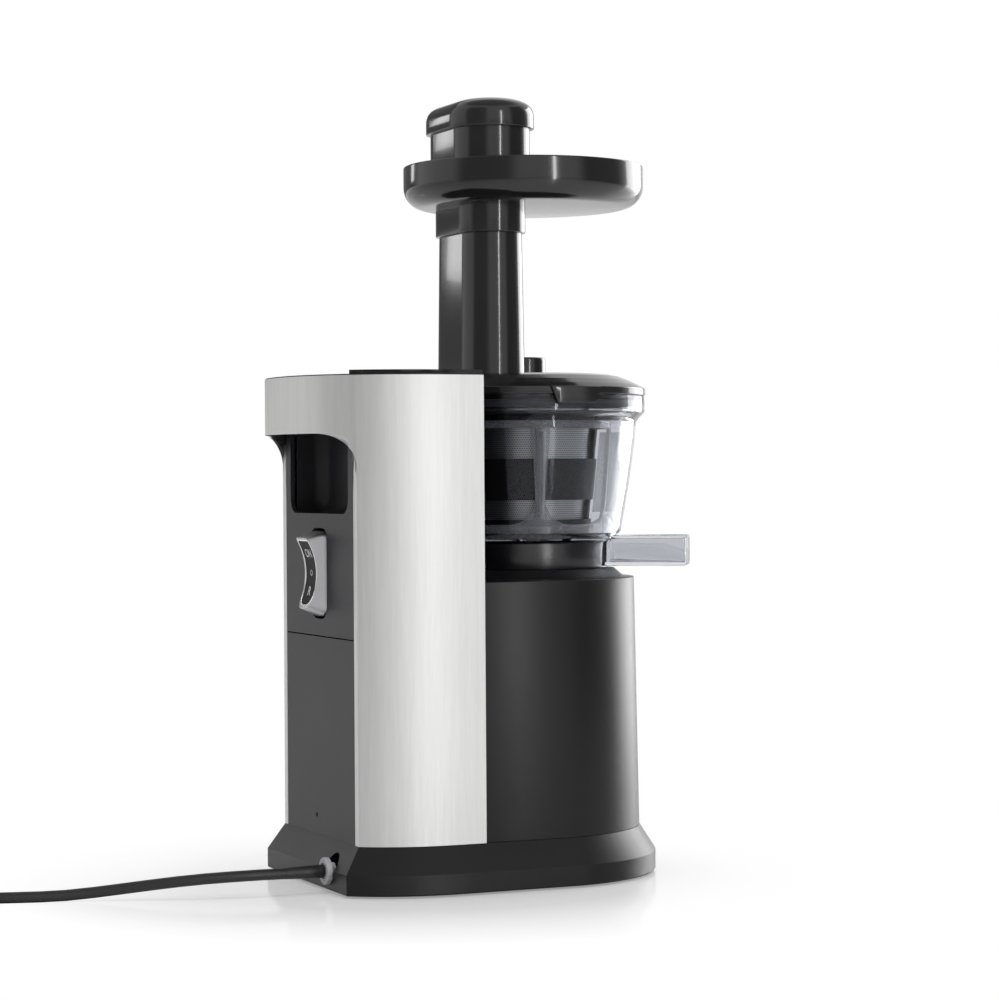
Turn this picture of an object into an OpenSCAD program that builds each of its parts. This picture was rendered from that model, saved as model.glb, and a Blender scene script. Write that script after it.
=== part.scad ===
// Cold press juicer: a slow vertical juicer with a clear bowl, an oval feed chute and a round tray.
// Millimetres. +Z is up, the rear is +Y, and the origin is on the floor below the middle of the
// appliance, its mains cord left out.

/* [Housing] */
// Width across the straight sides
body_w = 149; // [144:1:160]
// Length of the straight sides, from the rear curve to the front arc
side_run = 59; // [54:1:70]
// Reach of the rounded rear, from its centre to the back of the handle band
rear_depth = 79; // [74:1:86]
// Distance from the rear curve's centre to the flat rear panels
rear_flat = 54; // [50:1:58]
// Squareness of the rounded rear (2 is an ellipse)
rear_power = 2.3; // [2.1:0.1:2.6]
// Height of the front housing, from the plinth to the deck
lower_h = 140.1; // [138:1:150]
// Height of the tower, from the plinth to its top edge
tower_h = 251.6; // [245:1:265]
// Distance of the housing seam behind the front arc's centre
seam_back = 45.5; // [42:0.5:50]
// Inward lean of the front housing at the deck
front_draft = 2.2; // [0.5:0.1:3]
// Wall of the plastic housings
wall = 2.5; // [2:0.1:3]
// Thickness of the steel wrap
steel_t = 1.2; // [0.8:0.1:1.5]

/* [Plinth] */
// Height of the plinth
plinth_h = 25.2; // [22:0.2:30]
// Height of its upright wall, below the chamfer
plinth_wall_h = 11; // [9:0.5:14]
// How far the plinth stands out round the housing
plinth_flare = 9; // [6:0.5:12]
// Gap under the plinth
plinth_gap = 1.2; // [0.8:0.1:2]
// Diameter of a foot
foot_d = 16; // [12:1:20]

/* [Handle and rear] */
// Height of the handle band
band_h = 31; // [28:1:36]
// Radius where the band turns down into the rear edges
band_fillet = 27; // [20:1:30]
// Width of the folded edge beside the rear panels
lip_w = 2.7; // [2:0.1:4]
// Half width of the finger recess
recess_half_w = 46; // [40:1:48]
// Depth of the finger recess
recess_depth = 30; // [24:1:32]
// Height of the finger recess below the band
recess_h = 43.4; // [40:1:48]
// Height of the lower rear panel
rear_split_h = 109.6; // [100:1:112]
// Height of the raised cover plate on the tower
cover_h = 5; // [4:0.5:7]

/* [Rocker switch] */
// Width of the rocker
rocker_w = 24; // [20:1:28]
// Height of the rocker
rocker_h = 47.2; // [42:1:48]
// Height of the rocker's centre above the panel split
rocker_up = 34.5; // [33:0.5:36]
// How far its ends stand out of the panel
rocker_out = 10; // [8:0.5:12]
// How far its middle lies below its ends
rocker_dip = 4; // [2:0.5:5]
// Swing to either side
rocker_swing = 8; // [5:1:8]

/* [Bowl] */
// Height of the seat on the deck
seat_h = 5; // [4:0.5:7]
// Outer radius of the black base ring
base_ring_r = 47; // [46:0.5:49]
// Height of the base ring
base_ring_h = 14; // [13.5:0.1:16]
// Outer radius at the foot of the bowl's wall
bowl_foot_r = 54.1; // [53.5:0.1:56]
// Outer radius at the top of the bowl's wall
bowl_top_r = 63.3; // [62.5:0.1:65]
// Height of the bowl's wall
bowl_wall_h = 62; // [61:0.5:66]
// Outer radius of the rim
rim_r = 68.2; // [67.5:0.1:69]
// Height of the rim
rim_h = 9; // [8:0.5:11]
// Wall of the clear parts
bowl_wall = 2.4; // [2:0.1:2.8]

/* [Spouts] */
// Direction of the juice spout, from +X
juice_dir = 236.35; // [225:1:245]
// Direction of the pulp chute, from +X
pulp_dir = 330; // [320:1:335]
// Reach of the juice spout from the bowl's axis
juice_reach = 92.5; // [88:0.5:98]
// Reach of the pulp chute from the bowl's axis
pulp_reach = 88; // [80:0.5:88]
// Width of the juice spout
juice_w = 24; // [20:0.5:26]
// Width of the pulp chute
pulp_w = 22; // [18:0.5:24]
// Wall of both spouts
spout_wall = 2; // [1.5:0.1:2.4]

/* [Strainer] */
// Outer radius at the bottom
strainer_low_r = 37; // [36.5:0.1:37.4]
// Outer radius at the top
strainer_top_r = 43.5; // [43:0.1:44]
// Height of the strainer
strainer_h = 62.5; // [60:0.5:64]
// Wall of its frame
strainer_wall = 2.2; // [1.8:0.1:2.4]
// Thickness of the perforated sheet
mesh_t = 0.6; // [0.4:0.1:0.8]
// Ribs round the frame
strainer_ribs = 12; // [8:2:16]
// Slots round the perforated sheet
mesh_slots = 36; // [24:4:48]

/* [Brush] */
// Outer radius at the bottom
brush_low_r = 44.3; // [44:0.1:45]
// Outer radius at the top
brush_top_r = 49.5; // [49:0.1:50.5]
// Height of the brush frame
brush_h = 65; // [63:0.5:67]
// Wall of its cage
brush_wall = 2.2; // [1.8:0.1:2.6]
// Direction of the first pillar, from +X
pillar_dir = 166.3; // [150:1:175]
// Number of pillars
pillars = 5; // [4:1:6]
// Thickness of a wiper blade
blade_t = 1.2; // [1:0.1:1.6]

/* [Auger] */
// Core radius at the bottom
auger_low_r = 30; // [28:0.5:30.5]
// Core radius at the top
auger_top_r = 8.5; // [7.5:0.5:10]
// Number of flights
flights = 3; // [2:1:4]
// Turn of each flight
flight_turn = 300; // [240:10:360]
// Thickness of a flight
flight_t = 3; // [2.5:0.1:4]
// Gap between the flights and the strainer
flight_gap = 0.7; // [0.5:0.1:1]
// Radius of the pin at the top
auger_pin_r = 5; // [4:0.5:5.5]

/* [Lid and chute] */
// Height of the lid above the rim
lid_h = 12.5; // [11.5:0.5:14]
// Radius of the centre boss
boss_r = 12; // [11.5:0.5:13]
// Height of the centre boss above the lid
boss_h = 9.6; // [8:0.2:12]
// Distance of the chute behind the bowl's axis
chute_back = 26.8; // [26.5:0.1:28]
// Half length of the chute's straight sides
chute_half = 14.6; // [13:0.1:16]
// End radius of the chute at the top
chute_top_r = 17.4; // [17.2:0.1:17.8]
// End radius of the chute at the bottom
chute_low_r = 18.75; // [18.2:0.05:19]
// End radius of the chute's bore
bore_r = 15.2; // [14.8:0.1:15.4]
// Height of the chute's mouth above the rim
chute_h = 104.6; // [100:1:112]

/* [Tray and pusher] */
// Radius of the tray
tray_r = 68.2; // [64:0.2:70]
// Height of the tray
tray_h = 23.4; // [20:0.2:28]
// Radius of the tray's bottom edge
tray_edge_r = 12; // [9:0.5:14]
// Height of the collar under the tray
collar_h = 16; // [14:0.5:20]
// End radius of the pusher's grip
grip_r = 22.3; // [20:0.1:23]
// Height of the grip
grip_h = 39.5; // [34:0.5:44]
// End radius of the cap
cap_r = 24.8; // [23.5:0.1:26]
// Height of the cap
cap_h = 17.5; // [15:0.5:20]
// Length of the plunger below the grip
plunger_h = 86; // [78:1:90]

/* [Motor and gears] */
// Module of the second stage
output_module = 1.5; // [1.46:0.02:1.5]
// Module of the first stage
lay_module = 1.25; // [1.2:0.05:1.25]
// Module of the brush drive
brush_module = 1.5; // [1.48:0.01:1.52]
// Play of each tooth flank
tooth_play = 0.17; // [0.15:0.01:0.2]
// Radius of the output shaft
shaft_r = 8; // [7.5:0.1:8.5]
// Radius of the motor and lay shafts
motor_shaft_r = 4; // [3.5:0.1:4.5]
// Running gap of the shafts in their bushes
bush_play = 0.05; // [0.03:0.01:0.08]
// Width of the stator
stator_w = 84; // [78:1:86]
// Height of the stator's stack
stator_h = 48; // [42:1:50]
// Radius of the rotor
rotor_r = 23.2; // [21:0.1:25]
// Blades of the fan
fan_blades = 7; // [5:1:9]

/* [Hidden] */
$fn = 96;
eps = 0.01;
play = 0.3;            // clearance of parts that lift off or turn
seat_play = 0.1;       // clearance of parts that are fitted and stay

// Teeth, on which the ratios of the couplings rest
output_teeth = 54;
pinion_teeth = 12;     // both pinions
lay_teeth = 48;
auger_teeth = 28;
idler_teeth = 10;
ring_teeth = 48;       // inside the brush

// The mains cord, whose stored length is wound to fit its real length
cord_d = 6;
coil_turns = 6.064;    // over two layers
coil_mean_r = 35;
coil_gap = 0.6;        // between neighbouring turns

// Plan of the housing: the output gear and with it the bowl stand one gear step in front of the
// lay gear, which stands one step behind the motor
body_r = body_w / 2;
bowl_forward = (output_teeth + pinion_teeth) * output_module / 2 - (lay_teeth + pinion_teeth) * lay_module / 2;
spout_front = juice_reach * -sin(juice_dir) + juice_w / 2 * -cos(juice_dir);
rear_y = (side_run + bowl_forward + spout_front - rear_depth) / 2;
front_y = rear_y - side_run;
bowl_y = front_y - bowl_forward;
seam_y = front_y + seam_back;
panel_y = rear_y + rear_flat;
chute_y = bowl_y + chute_back;

// Heights of the housing
base_z = plinth_gap + plinth_h;
plate_z = plinth_gap + 0.6;
plate_t = 2.5;
floor_z = plate_z + plate_t;
deck_z = base_z + lower_h;
tower_z = base_z + tower_h;
band_z = tower_z - band_h;
split_z = base_z + rear_split_h;
panel_gap = 0.6;

// Heights of the bowl, from the deck up
seat_z = deck_z + seat_h;
ring_z = seat_z + play;
bowl_z = ring_z + base_ring_h;
floor_t = 2.7;
bowl_floor_z = bowl_z + floor_t;
wall_z = bowl_z + 6.2;
neck_z = wall_z + bowl_wall_h;
rim_z = neck_z + 5.4;
rim_top_z = rim_z + rim_h;
gear_z = bowl_floor_z + 0.6;
gear_h = 5;
strainer_z = gear_z + gear_h + 1.5;
strainer_top_z = strainer_z + strainer_h;
auger_z = strainer_z + 2.6;
lid_z = rim_top_z + play;
lid_top_z = lid_z + lid_h;
chute_top_z = lid_z + chute_h;
collar_z = chute_top_z - 13.8;
tray_z = collar_z + collar_h;
tray_floor_z = tray_z + 2.4;
grip_z = tray_floor_z + play;
cap_z = grip_z + grip_h;
plunger_z = grip_z - plunger_h;

// Radii inside the bowl
bowl_bore_r = shaft_r + 1.8;
mesh_r = strainer_top_r - strainer_wall;
plate_hole_r = auger_teeth * brush_module / 2 + 1.7 * brush_module;
leg_r = 28.4;

// Rocker
rocker_z = split_z + rocker_up;
pivot_in = 7.8;
pivot_y = panel_y - pivot_in;
switch_w = rocker_w + 6;
switch_h = rocker_h + 10;
pin_r = 2;

// Motor and gearbox
lay_y = front_y + (lay_teeth + pinion_teeth) * lay_module / 2;
fan_z = 10;
fan_h = 10;
bracket_z = 26;
bracket_t = 3;
stator_z = 44;
coil_head_h = 12;
upper_z = stator_z + stator_h + coil_head_h + 3;
case_z = upper_z + bracket_t;
case_wall = 3;
stage1_z = case_z + 10;
stage1_h = 10;
stage2_z = stage1_z + stage1_h + 4;
stage2_h = 12;
case_top_z = stage2_z + stage2_h + 2;
cover_t = 3;
output_bush_h = 14;
output_case_r = output_teeth * output_module / 2 + 5.5;
lay_case_r = lay_teeth * lay_module / 2 + 6;
bolt_at = stator_w / 2 - 6;
bolt_r = 3;

// Idler of the brush drive
idler_dir = 150;
idler_at = (auger_teeth + idler_teeth) * brush_module / 2;
idler_pin_r = 2.5;

// Feet and screws of the base plate, in from the side of the body
foot_inset = 24.5;
screw_inset = 16.5;

// Cord: the gland's place, the lead's points (chosen by hand) and the stored coil
cord_r = cord_d / 2;
gland_x = -36.5;
gland_z = 11.5;
gland_r = 7.3;
gland_t = 3.2;
plinth_rear_y = panel_y + plinth_flare;
relief_l = 22;
relief_r = 3.8;
lead_points = [
    [-36.5, 126, 11.5], [-36, 140, 11.6], [-34, 154, 11.3], [-30.5, 168, 10.6], [-26, 182, 9.4],
    [-21, 196, 7.8], [-15.5, 210, 6], [-11, 224, 4.4], [-7.5, 238, 3.3], [-4.5, 251, 3], [-1.2, 264, 3],
    [2.6, 277, 3], [6.9, 290, 3], [12, 303, 3], [16.24, 313, 3]
];
lead_start = [gland_x, plinth_rear_y + gland_t + relief_l, gland_z];
coil_start = -23;
coil_pitch = cord_d + coil_gap;
coil_out_r = coil_mean_r + coil_pitch * coil_turns / 4;
coil_x = 16.24 - coil_out_r * cos(coil_start);
coil_y = 313 - coil_out_r * sin(coil_start);
coil_rings = 24;
tail_l = 14;
plug_neck_l = 20;
plug_l = 34;
plug_w = 20;
plug_z = cord_r + coil_pitch;
plug_y = coil_y + tail_l;
plug_x = coil_x + coil_out_r;

// ---------------------------------------------------------------- helpers

// One point of the rear curve, at parameter angle a
function rear_point(grow, a) = [
    (body_r + grow) * pow(abs(cos(a)), 2 / rear_power) * sign(cos(a)),
    rear_y + (rear_depth + grow) * pow(abs(sin(a)), 2 / rear_power)
];

// Parameter angle at which the rear curve meets the flat rear
function flat_angle(grow) = asin(pow((rear_flat + grow) / (rear_depth + grow), rear_power / 2));

// Half width of the flat rear
function flat_half_w(grow) = rear_point(grow, flat_angle(grow))[0];

// Plan of the housing with its rounded rear, grown by `grow`
module plan(grow = 0) {
    translate([0, front_y]) circle(r = body_r + grow);
    translate([-body_r - grow, front_y]) square([2 * (body_r + grow), side_run]);
    polygon([for (a = [0:4:180]) rear_point(grow, a)]);
}

// The same plan behind, or in front of, a line across the housing
module plan_behind(grow, y) intersection() {
    plan(grow);
    translate([-body_w, y]) square([2 * body_w, 2 * body_w]);
}

// Closed outline of the plinth at one height, counter-clockwise from above
function plinth_ring(grow, z) = let (last = flat_angle(grow)) concat(
    [for (i = [0:8]) let (p = rear_point(grow, last * i / 8)) [p[0], p[1], z]],
    [for (i = [8:-1:0]) let (p = rear_point(grow, last * i / 8)) [-p[0], p[1], z]],
    [for (i = [1:31]) let (a = 180 + 180 * i / 32)
        [(body_r + grow) * cos(a), front_y + (body_r + grow) * sin(a), z]]
);

// Outline of the front housing: from the seam round the front arc, narrowing to `r`
function front_ring(r, z, side) = concat(
    [[side, seam_y, z], [-side, seam_y, z]],
    [for (i = [0:32]) let (a = 180 + 180 * i / 32) [r * cos(a), front_y + r * sin(a), z]]
);

// Outline of a stadium with its straight sides along X
function stadium_ring(r, z, steps = 14) = [
    for (side = [1, -1], i = [0:steps]) let (a = -90 * side + 180 * i / steps)
        [side * chute_half + r * cos(a), chute_y + r * sin(a), z]
];

// Solid through a stack of outlines with equally many points, listed from the bottom up
module loft(rings) {
    n = len(rings[0]);
    top = (len(rings) - 1) * n;
    polyhedron(
        points = [for (ring = rings) each ring],
        faces = concat(
            [[for (i = [0:n - 1]) i]],
            [[for (i = [n - 1:-1:0]) top + i]],
            [for (k = [0:len(rings) - 2], i = [0:n - 1]) let (j = (i + 1) % n)
                each [[k * n + i, (k + 1) * n + i, (k + 1) * n + j],
                      [k * n + i, (k + 1) * n + j, k * n + j]]]
        )
    );
}

// Tube swept along points, with its first and last sections square to the ends
module swept_tube(points, r, sides, start_dir, end_dir) {
    n = len(points);
    function direction(i) = i == 0 ? start_dir : i == n - 1 ? end_dir
        : let (d = points[i + 1] - points[i - 1]) d / norm(d);
    function section(i) = let (
        d = direction(i),
        side = cross(d, [0, 0, 1]),
        u = side / norm(side),
        v = cross(u, d)
    ) [for (k = [0:sides - 1]) let (a = 90 + 360 * (k + 0.5) / sides)
        points[i] + r / cos(180 / sides) * (cos(a) * u + sin(a) * v)];
    loft_turned([for (i = [0:n - 1]) section(i)]);
}

// The same stack of sections, listed so that the faces look outward along a sweep
module loft_turned(rings) {
    n = len(rings[0]);
    top = (len(rings) - 1) * n;
    polyhedron(
        points = [for (ring = rings) each ring],
        faces = concat(
            [[for (i = [n - 1:-1:0]) i]],
            [[for (i = [0:n - 1]) top + i]],
            [for (k = [0:len(rings) - 2], i = [0:n - 1]) let (j = (i + 1) % n)
                each [[k * n + i, (k + 1) * n + j, (k + 1) * n + i],
                      [k * n + i, k * n + j, (k + 1) * n + j]]]
        )
    );
}

module stadium(r, half = chute_half) {
    translate([half, 0]) circle(r = r);
    translate([-half, 0]) circle(r = r);
    square([2 * half, 2 * r], center = true);
}

// Upright stadium at the chute's place
module chute_block(r, z0, z1) translate([0, chute_y, z0]) linear_extrude(z1 - z0) stadium(r);

module tube(r_out, r_in, h) difference() {
    cylinder(r = r_out, h = h);
    translate([0, 0, -eps]) cylinder(r = r_in, h = h + 2 * eps);
}

module at_bowl(z = 0) translate([0, bowl_y, z]) children();

module around(count, first = 0) for (i = [0:count - 1]) rotate(first + 360 * i / count) children();

// Involute tooth flank: half angle of the tooth at radius r
function inv(a) = tan(a) * 180 / PI - a;
function flank(r, base_r, half) = half + inv(20) - inv(acos(min(1, base_r / r)));

// Outline of a gear; `half` is the half angle of a tooth at the pitch circle
function gear_points(teeth, mod, half, root_r, tip_r, first) = let (
    base_r = teeth * mod / 2 * cos(20),
    low = max(root_r + 0.05, base_r),
    radii = [root_r, low, low + (tip_r - low) * 0.35, low + (tip_r - low) * 0.7, tip_r]
) [for (i = [0:teeth - 1]) let (a = first + 360 * i / teeth) each concat(
    [for (r = radii) let (t = a - flank(r, base_r, half)) [r * cos(t), r * sin(t)]],
    [for (k = [4:-1:0]) let (r = radii[k], t = a + flank(r, base_r, half)) [r * cos(t), r * sin(t)]]
)];

// Spur gear with tooth 0 at angle `first`
module spur_gear(teeth, mod, h, first) {
    pitch_r = teeth * mod / 2;
    half = 90 / teeth - tooth_play / pitch_r * 180 / PI;
    linear_extrude(h) polygon(gear_points(teeth, mod, half, pitch_r - 1.1 * mod, pitch_r + 0.8 * mod, first));
}

// Space inside a ring gear, with the centre of space 0 at angle `first`
module ring_space(teeth, mod, h, first) {
    pitch_r = teeth * mod / 2;
    half = 90 / teeth + tooth_play / pitch_r * 180 / PI;
    linear_extrude(h) polygon(gear_points(teeth, mod, half, pitch_r - 0.8 * mod, pitch_r + 1.1 * mod, first));
}

function bowl_r(z) = let (t = max(0, min(1, (z - wall_z) / bowl_wall_h)))
    bowl_foot_r + (bowl_top_r - bowl_foot_r) * (1 - pow(1 - t, 1.33));
function strainer_r(z) = strainer_low_r + (strainer_top_r - strainer_low_r) * (z - strainer_z) / strainer_h;
function brush_r(z) = brush_low_r + (brush_top_r - brush_low_r) * (z - gear_z) / brush_h;
function auger_top_z() = strainer_top_z + 4;
function core_r(z) = let (t = max(0, min(1, (z - auger_z) / (auger_top_z() - auger_z))))
    auger_top_r + (auger_low_r - auger_top_r) * (0.5 + 0.5 * cos(180 * pow(t, 0.85)));
function flight_r(z) = strainer_r(z) - strainer_wall - mesh_t - flight_gap;

// ---------------------------------------------------------------- plinth and floor

foot_x = body_w / 2 - foot_inset;
screw_x = body_w / 2 - screw_inset;
foot_at = [for (y = [rear_y + 32, front_y - 44], x = [foot_x, -foot_x]) [x, y]];
screw_at = concat([for (x = [screw_x, -screw_x]) [x, rear_y + 12]],
    [for (x = [screw_x + 4, -screw_x - 4]) [x, front_y - 20]]);

module base_plinth() color([0.09, 0.09, 0.1]) difference() {
    union() {
        difference() {
            loft([
                plinth_ring(plinth_flare - 0.6, plinth_gap),
                plinth_ring(plinth_flare, plinth_gap + 0.8),
                plinth_ring(plinth_flare, plinth_gap + plinth_wall_h),
                plinth_ring(0, base_z)
            ]);
            translate([0, 0, -eps]) linear_extrude(base_z - wall) intersection() {
                plan(plinth_flare - 10.5);
                translate([-body_w, -2 * body_w]) square([2 * body_w, panel_y - 1.5 + 2 * body_w]);
            }
            translate([0, 0, -eps]) linear_extrude(plinth_gap + plinth_wall_h) intersection() {
                plan(plinth_flare - 3);
                translate([-body_w, -2 * body_w]) square([2 * body_w, plinth_rear_y - 3 + 2 * body_w]);
            }
            translate([0, 0, base_z - 2 * wall]) linear_extrude(3 * wall) intersection() {
                plan(-12);
                translate([-body_w, -2 * body_w]) square([2 * body_w, panel_y - 12 + 2 * body_w]);
            }
        }
        for (p = screw_at) translate([p[0], p[1], floor_z]) cylinder(r = 4.5, h = base_z - wall - floor_z + eps);
    }
    for (p = screw_at) translate([p[0], p[1], floor_z - 1]) cylinder(r = 1.6, h = 10);
    translate([gland_x, plinth_rear_y - 7, gland_z + 1.2]) rotate([-90, 0, 0]) cylinder(r = gland_r + 1, h = 20);
    translate([gland_x, plinth_rear_y - 20, gland_z]) rotate([-90, 0, 0]) cylinder(r = 4.6, h = 30);
}

module base_plate() color([0.12, 0.12, 0.13]) difference() {
    union() {
        translate([0, 0, plate_z]) linear_extrude(plate_t) intersection() {
            plan(plinth_flare - 3 - play);
            translate([-body_w, -2 * body_w]) square([2 * body_w, plinth_rear_y - 3 - play + 2 * body_w]);
        }
        for (x = [-1, 1], y = [-1, 1])
            translate([x * bolt_at, front_y + y * bolt_at, floor_z - eps])
                cylinder(r = 5, h = bracket_z - floor_z + eps);
    }
    for (p = foot_at) translate([p[0], p[1], plate_z - eps]) cylinder(r = 3 + seat_play, h = plate_t + 2 * eps);
    for (p = screw_at) translate([p[0], p[1], plate_z - eps]) cylinder(r = 1.9, h = plate_t + 2 * eps);
    translate([0, front_y, plate_z - eps]) around(16)
        translate([13, -1.5, 0]) cube([20, 3, plate_t + 2 * eps]);
    for (x = [-1, 1], y = [-1, 1])
        translate([x * bolt_at, front_y + y * bolt_at, bracket_z - 12]) cylinder(r = bolt_r, h = 13);
}

module rubber_feet() color([0.2, 0.2, 0.2]) for (p = foot_at) translate([p[0], p[1], 0]) {
    cylinder(r = foot_d / 2, h = plate_z);
    cylinder(r = 3, h = floor_z);
}

module base_screws() color([0.7, 0.7, 0.72]) for (p = screw_at) translate([p[0], p[1], 0]) {
    translate([0, 0, plate_z - 1]) cylinder(r = 3, h = 1);
    translate([0, 0, plate_z - 1]) cylinder(r = 1.5, h = 10);
}

// ---------------------------------------------------------------- housing

module front_housing() color([0.1, 0.1, 0.11]) difference() {
    union() {
        difference() {
            loft([front_ring(body_r, base_z, body_r), front_ring(body_r - front_draft, deck_z, body_r)]);
            translate([0, 0, base_z - eps]) linear_extrude(lower_h - wall) {
                translate([0, front_y]) circle(r = body_r - front_draft - wall);
                translate([-body_r + front_draft + wall, front_y])
                    square([2 * (body_r - front_draft - wall), seam_back + 1]);
            }
        }
        at_bowl(deck_z - eps) cylinder(r1 = 56, r2 = 50, h = seat_h + eps);
        at_bowl(seat_z - eps) cylinder(r = base_ring_r - 3.5 - play, h = 0.9);
    }
    at_bowl(deck_z - wall - eps) cylinder(r = shaft_r + 4, h = seat_h + wall + 2);
}

module tower_liner() color([0.07, 0.07, 0.08]) translate([0, 0, deck_z]) linear_extrude(tower_z - deck_z)
    intersection() {
        difference() {
            plan_behind(-steel_t - seat_play, seam_y);
            translate([0, bowl_y]) circle(r = rim_r + 2.3);
        }
        union() {
            translate([-body_w, seam_y - 1]) square([2 * body_w, wall + 1]);
            translate([0, bowl_y]) circle(r = rim_r + 2.3 + wall);
        }
    }

// Opening in the wrap behind the rear panels, with the band's fillets at its top corners
module rear_opening(half_w, z_top) {
    r = band_fillet;
    translate([-half_w, base_z - 1]) square([2 * half_w, z_top - r - base_z + 1]);
    translate([-half_w + r, base_z]) square([2 * (half_w - r), z_top - base_z]);
    for (side = [-1, 1]) translate([side * (half_w - r), z_top - r]) circle(r = r);
}

module steel_wrap() color([0.78, 0.78, 0.79]) {
    lip_h = band_z - band_fillet * 0.55 - base_z;
    half_w = flat_half_w(0);
    difference() {
        translate([0, 0, base_z]) linear_extrude(tower_h) difference() {
            plan_behind(0, seam_y);
            plan_behind(-steel_t, seam_y - 1);
        }
        translate([0, panel_y, 0]) rotate([90, 0, 0]) translate([0, 0, -body_w])
            linear_extrude(body_w) rear_opening(half_w + 0.2, band_z);
    }
    for (side = [-1, 1]) translate([side > 0 ? half_w - lip_w : -half_w, panel_y - steel_t, base_z])
        cube([lip_w, steel_t, lip_h]);
}

module handle_lining() color([0.08, 0.08, 0.09]) difference() {
    translate([0, 0, band_z + 0.6]) linear_extrude(band_h - 0.8) plan_behind(-steel_t - seat_play, panel_y);
    translate([0, 0, band_z]) linear_extrude(band_h / 2) plan_behind(-steel_t - 4, panel_y - 1);
    translate([0, panel_y - 1, 0]) rotate([90, 0, 0]) translate([0, 0, -body_w])
        linear_extrude(body_w) rear_opening(flat_half_w(0) + 0.2, band_z + 0.6);
}

module rear_panel_upper() color([0.3, 0.29, 0.31]) {
    half_w = flat_half_w(0) - lip_w - seat_play;
    top_z = band_z + band_h / 2;
    low_z = band_z - recess_h;
    scoop_z = low_z + recess_depth;
    inner = recess_depth + wall;
    difference() {
        translate([-half_w, panel_y - wall, split_z + panel_gap / 2])
            cube([2 * half_w, wall, top_z - split_z - panel_gap / 2]);
        translate([-recess_half_w, panel_y - wall - 1, low_z]) cube([2 * recess_half_w, wall + 2, 2 * recess_h]);
        translate([-rocker_w / 2 - 0.4, panel_y - wall - 1, rocker_z - rocker_h / 2 - 1.8])
            cube([rocker_w + 0.8, wall + 2, rocker_h + 3.6]);
    }
    // Finger recess: a scooped shell behind the opening
    difference() {
        intersection() {
            union() {
                translate([-recess_half_w - wall, panel_y, scoop_z]) rotate([0, 90, 0])
                    cylinder(r = inner, h = 2 * (recess_half_w + wall));
                translate([-recess_half_w - wall, panel_y - inner, scoop_z])
                    cube([2 * (recess_half_w + wall), inner, top_z - scoop_z]);
            }
            translate([-body_w, panel_y - inner - 1, low_z - inner])
                cube([2 * body_w, inner + 1 - wall, top_z - low_z + inner]);
        }
        translate([-recess_half_w, panel_y, scoop_z]) rotate([0, 90, 0])
            cylinder(r = recess_depth, h = 2 * recess_half_w);
        translate([-recess_half_w, panel_y - recess_depth, scoop_z])
            cube([2 * recess_half_w, recess_depth + 1, top_z]);
    }
    // Ceiling of the recess, up against the handle's lining
    translate([-recess_half_w - wall, panel_y - inner, top_z])
        cube([2 * (recess_half_w + wall), inner - seat_play, wall]);
}

module rear_panel_lower() color([0.3, 0.29, 0.31]) difference() {
    half_w = flat_half_w(0) - lip_w - seat_play;
    translate([-half_w, panel_y - wall, base_z]) cube([2 * half_w, wall, split_z - panel_gap / 2 - base_z]);
    translate([6, panel_y - 1.5, base_z + 10.5]) rotate([-90, 0, 0]) cylinder(r = 1.2, h = 3);
}

module top_cover() color([0.1, 0.1, 0.11]) difference() {
    union() {
        translate([0, 0, tower_z]) linear_extrude(1.6) plan_behind(-0.5, seam_y);
        translate([0, 0, tower_z + 1.5]) linear_extrude(cover_h - 2.5) difference() {
            plan_behind(-1, seam_y);
            translate([-body_w, rear_y + 35]) square([2 * body_w, body_w]);
        }
        translate([0, 0, tower_z + cover_h - 1.1]) linear_extrude(1.1) difference() {
            plan_behind(-2.2, seam_y + 0.6);
            translate([-body_w, rear_y + 34]) square([2 * body_w, body_w]);
        }
    }
    at_bowl(tower_z - 1) cylinder(r = rim_r + 2.3, h = cover_h + 2);
}

module shaft_seal() color([0.15, 0.15, 0.15]) at_bowl(deck_z - wall) difference() {
    tube(shaft_r + 4 - seat_play, shaft_r + seat_play, seat_h + wall);
    translate([0, 0, seat_h + wall - 2]) tube(shaft_r + 6, shaft_r + 2.5, 3);
}

// ---------------------------------------------------------------- motor

module bracket_plate(z) difference() {
    translate([-stator_w / 2, front_y - stator_w / 2, z]) cube([stator_w, stator_w, bracket_t]);
    for (x = [-1, 1], y = [-1, 1])
        translate([x * bolt_at, front_y + y * bolt_at, z - 1]) cylinder(r = bolt_r + seat_play, h = bracket_t + 2);
    translate([0, front_y, z - 1]) cylinder(r = 7, h = bracket_t + 2);
    translate([0, front_y, z - 1]) around(6) translate([24, 0, 0]) cylinder(r = 6, h = bracket_t + 2);
}

module motor_bracket_lower() color([0.6, 0.6, 0.62]) {
    bracket_plate(bracket_z);
    translate([0, front_y, bracket_z + bracket_t - eps]) tube(10, 7, 5);
}

module motor_bracket_upper() color([0.6, 0.6, 0.62]) bracket_plate(upper_z);

module motor_bolts() color([0.65, 0.65, 0.66]) for (x = [-1, 1], y = [-1, 1])
    translate([x * bolt_at, front_y + y * bolt_at, bracket_z - 11]) cylinder(r = bolt_r - 0.02, h = case_z - bracket_z + 11);

module motor_stator() color([0.45, 0.45, 0.48]) difference() {
    intersection() {
        translate([-stator_w / 2, front_y - stator_w / 2, stator_z]) cube([stator_w, stator_w, stator_h]);
        translate([0, front_y, stator_z]) cylinder(r = stator_w * 0.66, h = stator_h);
    }
    translate([0, front_y, stator_z - 1]) cylinder(r = rotor_r + 0.5, h = stator_h + 2);
    for (x = [-1, 1], y = [-1, 1])
        translate([x * bolt_at, front_y + y * bolt_at, stator_z - 1]) cylinder(r = bolt_r + seat_play, h = stator_h + 2);
}

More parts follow.
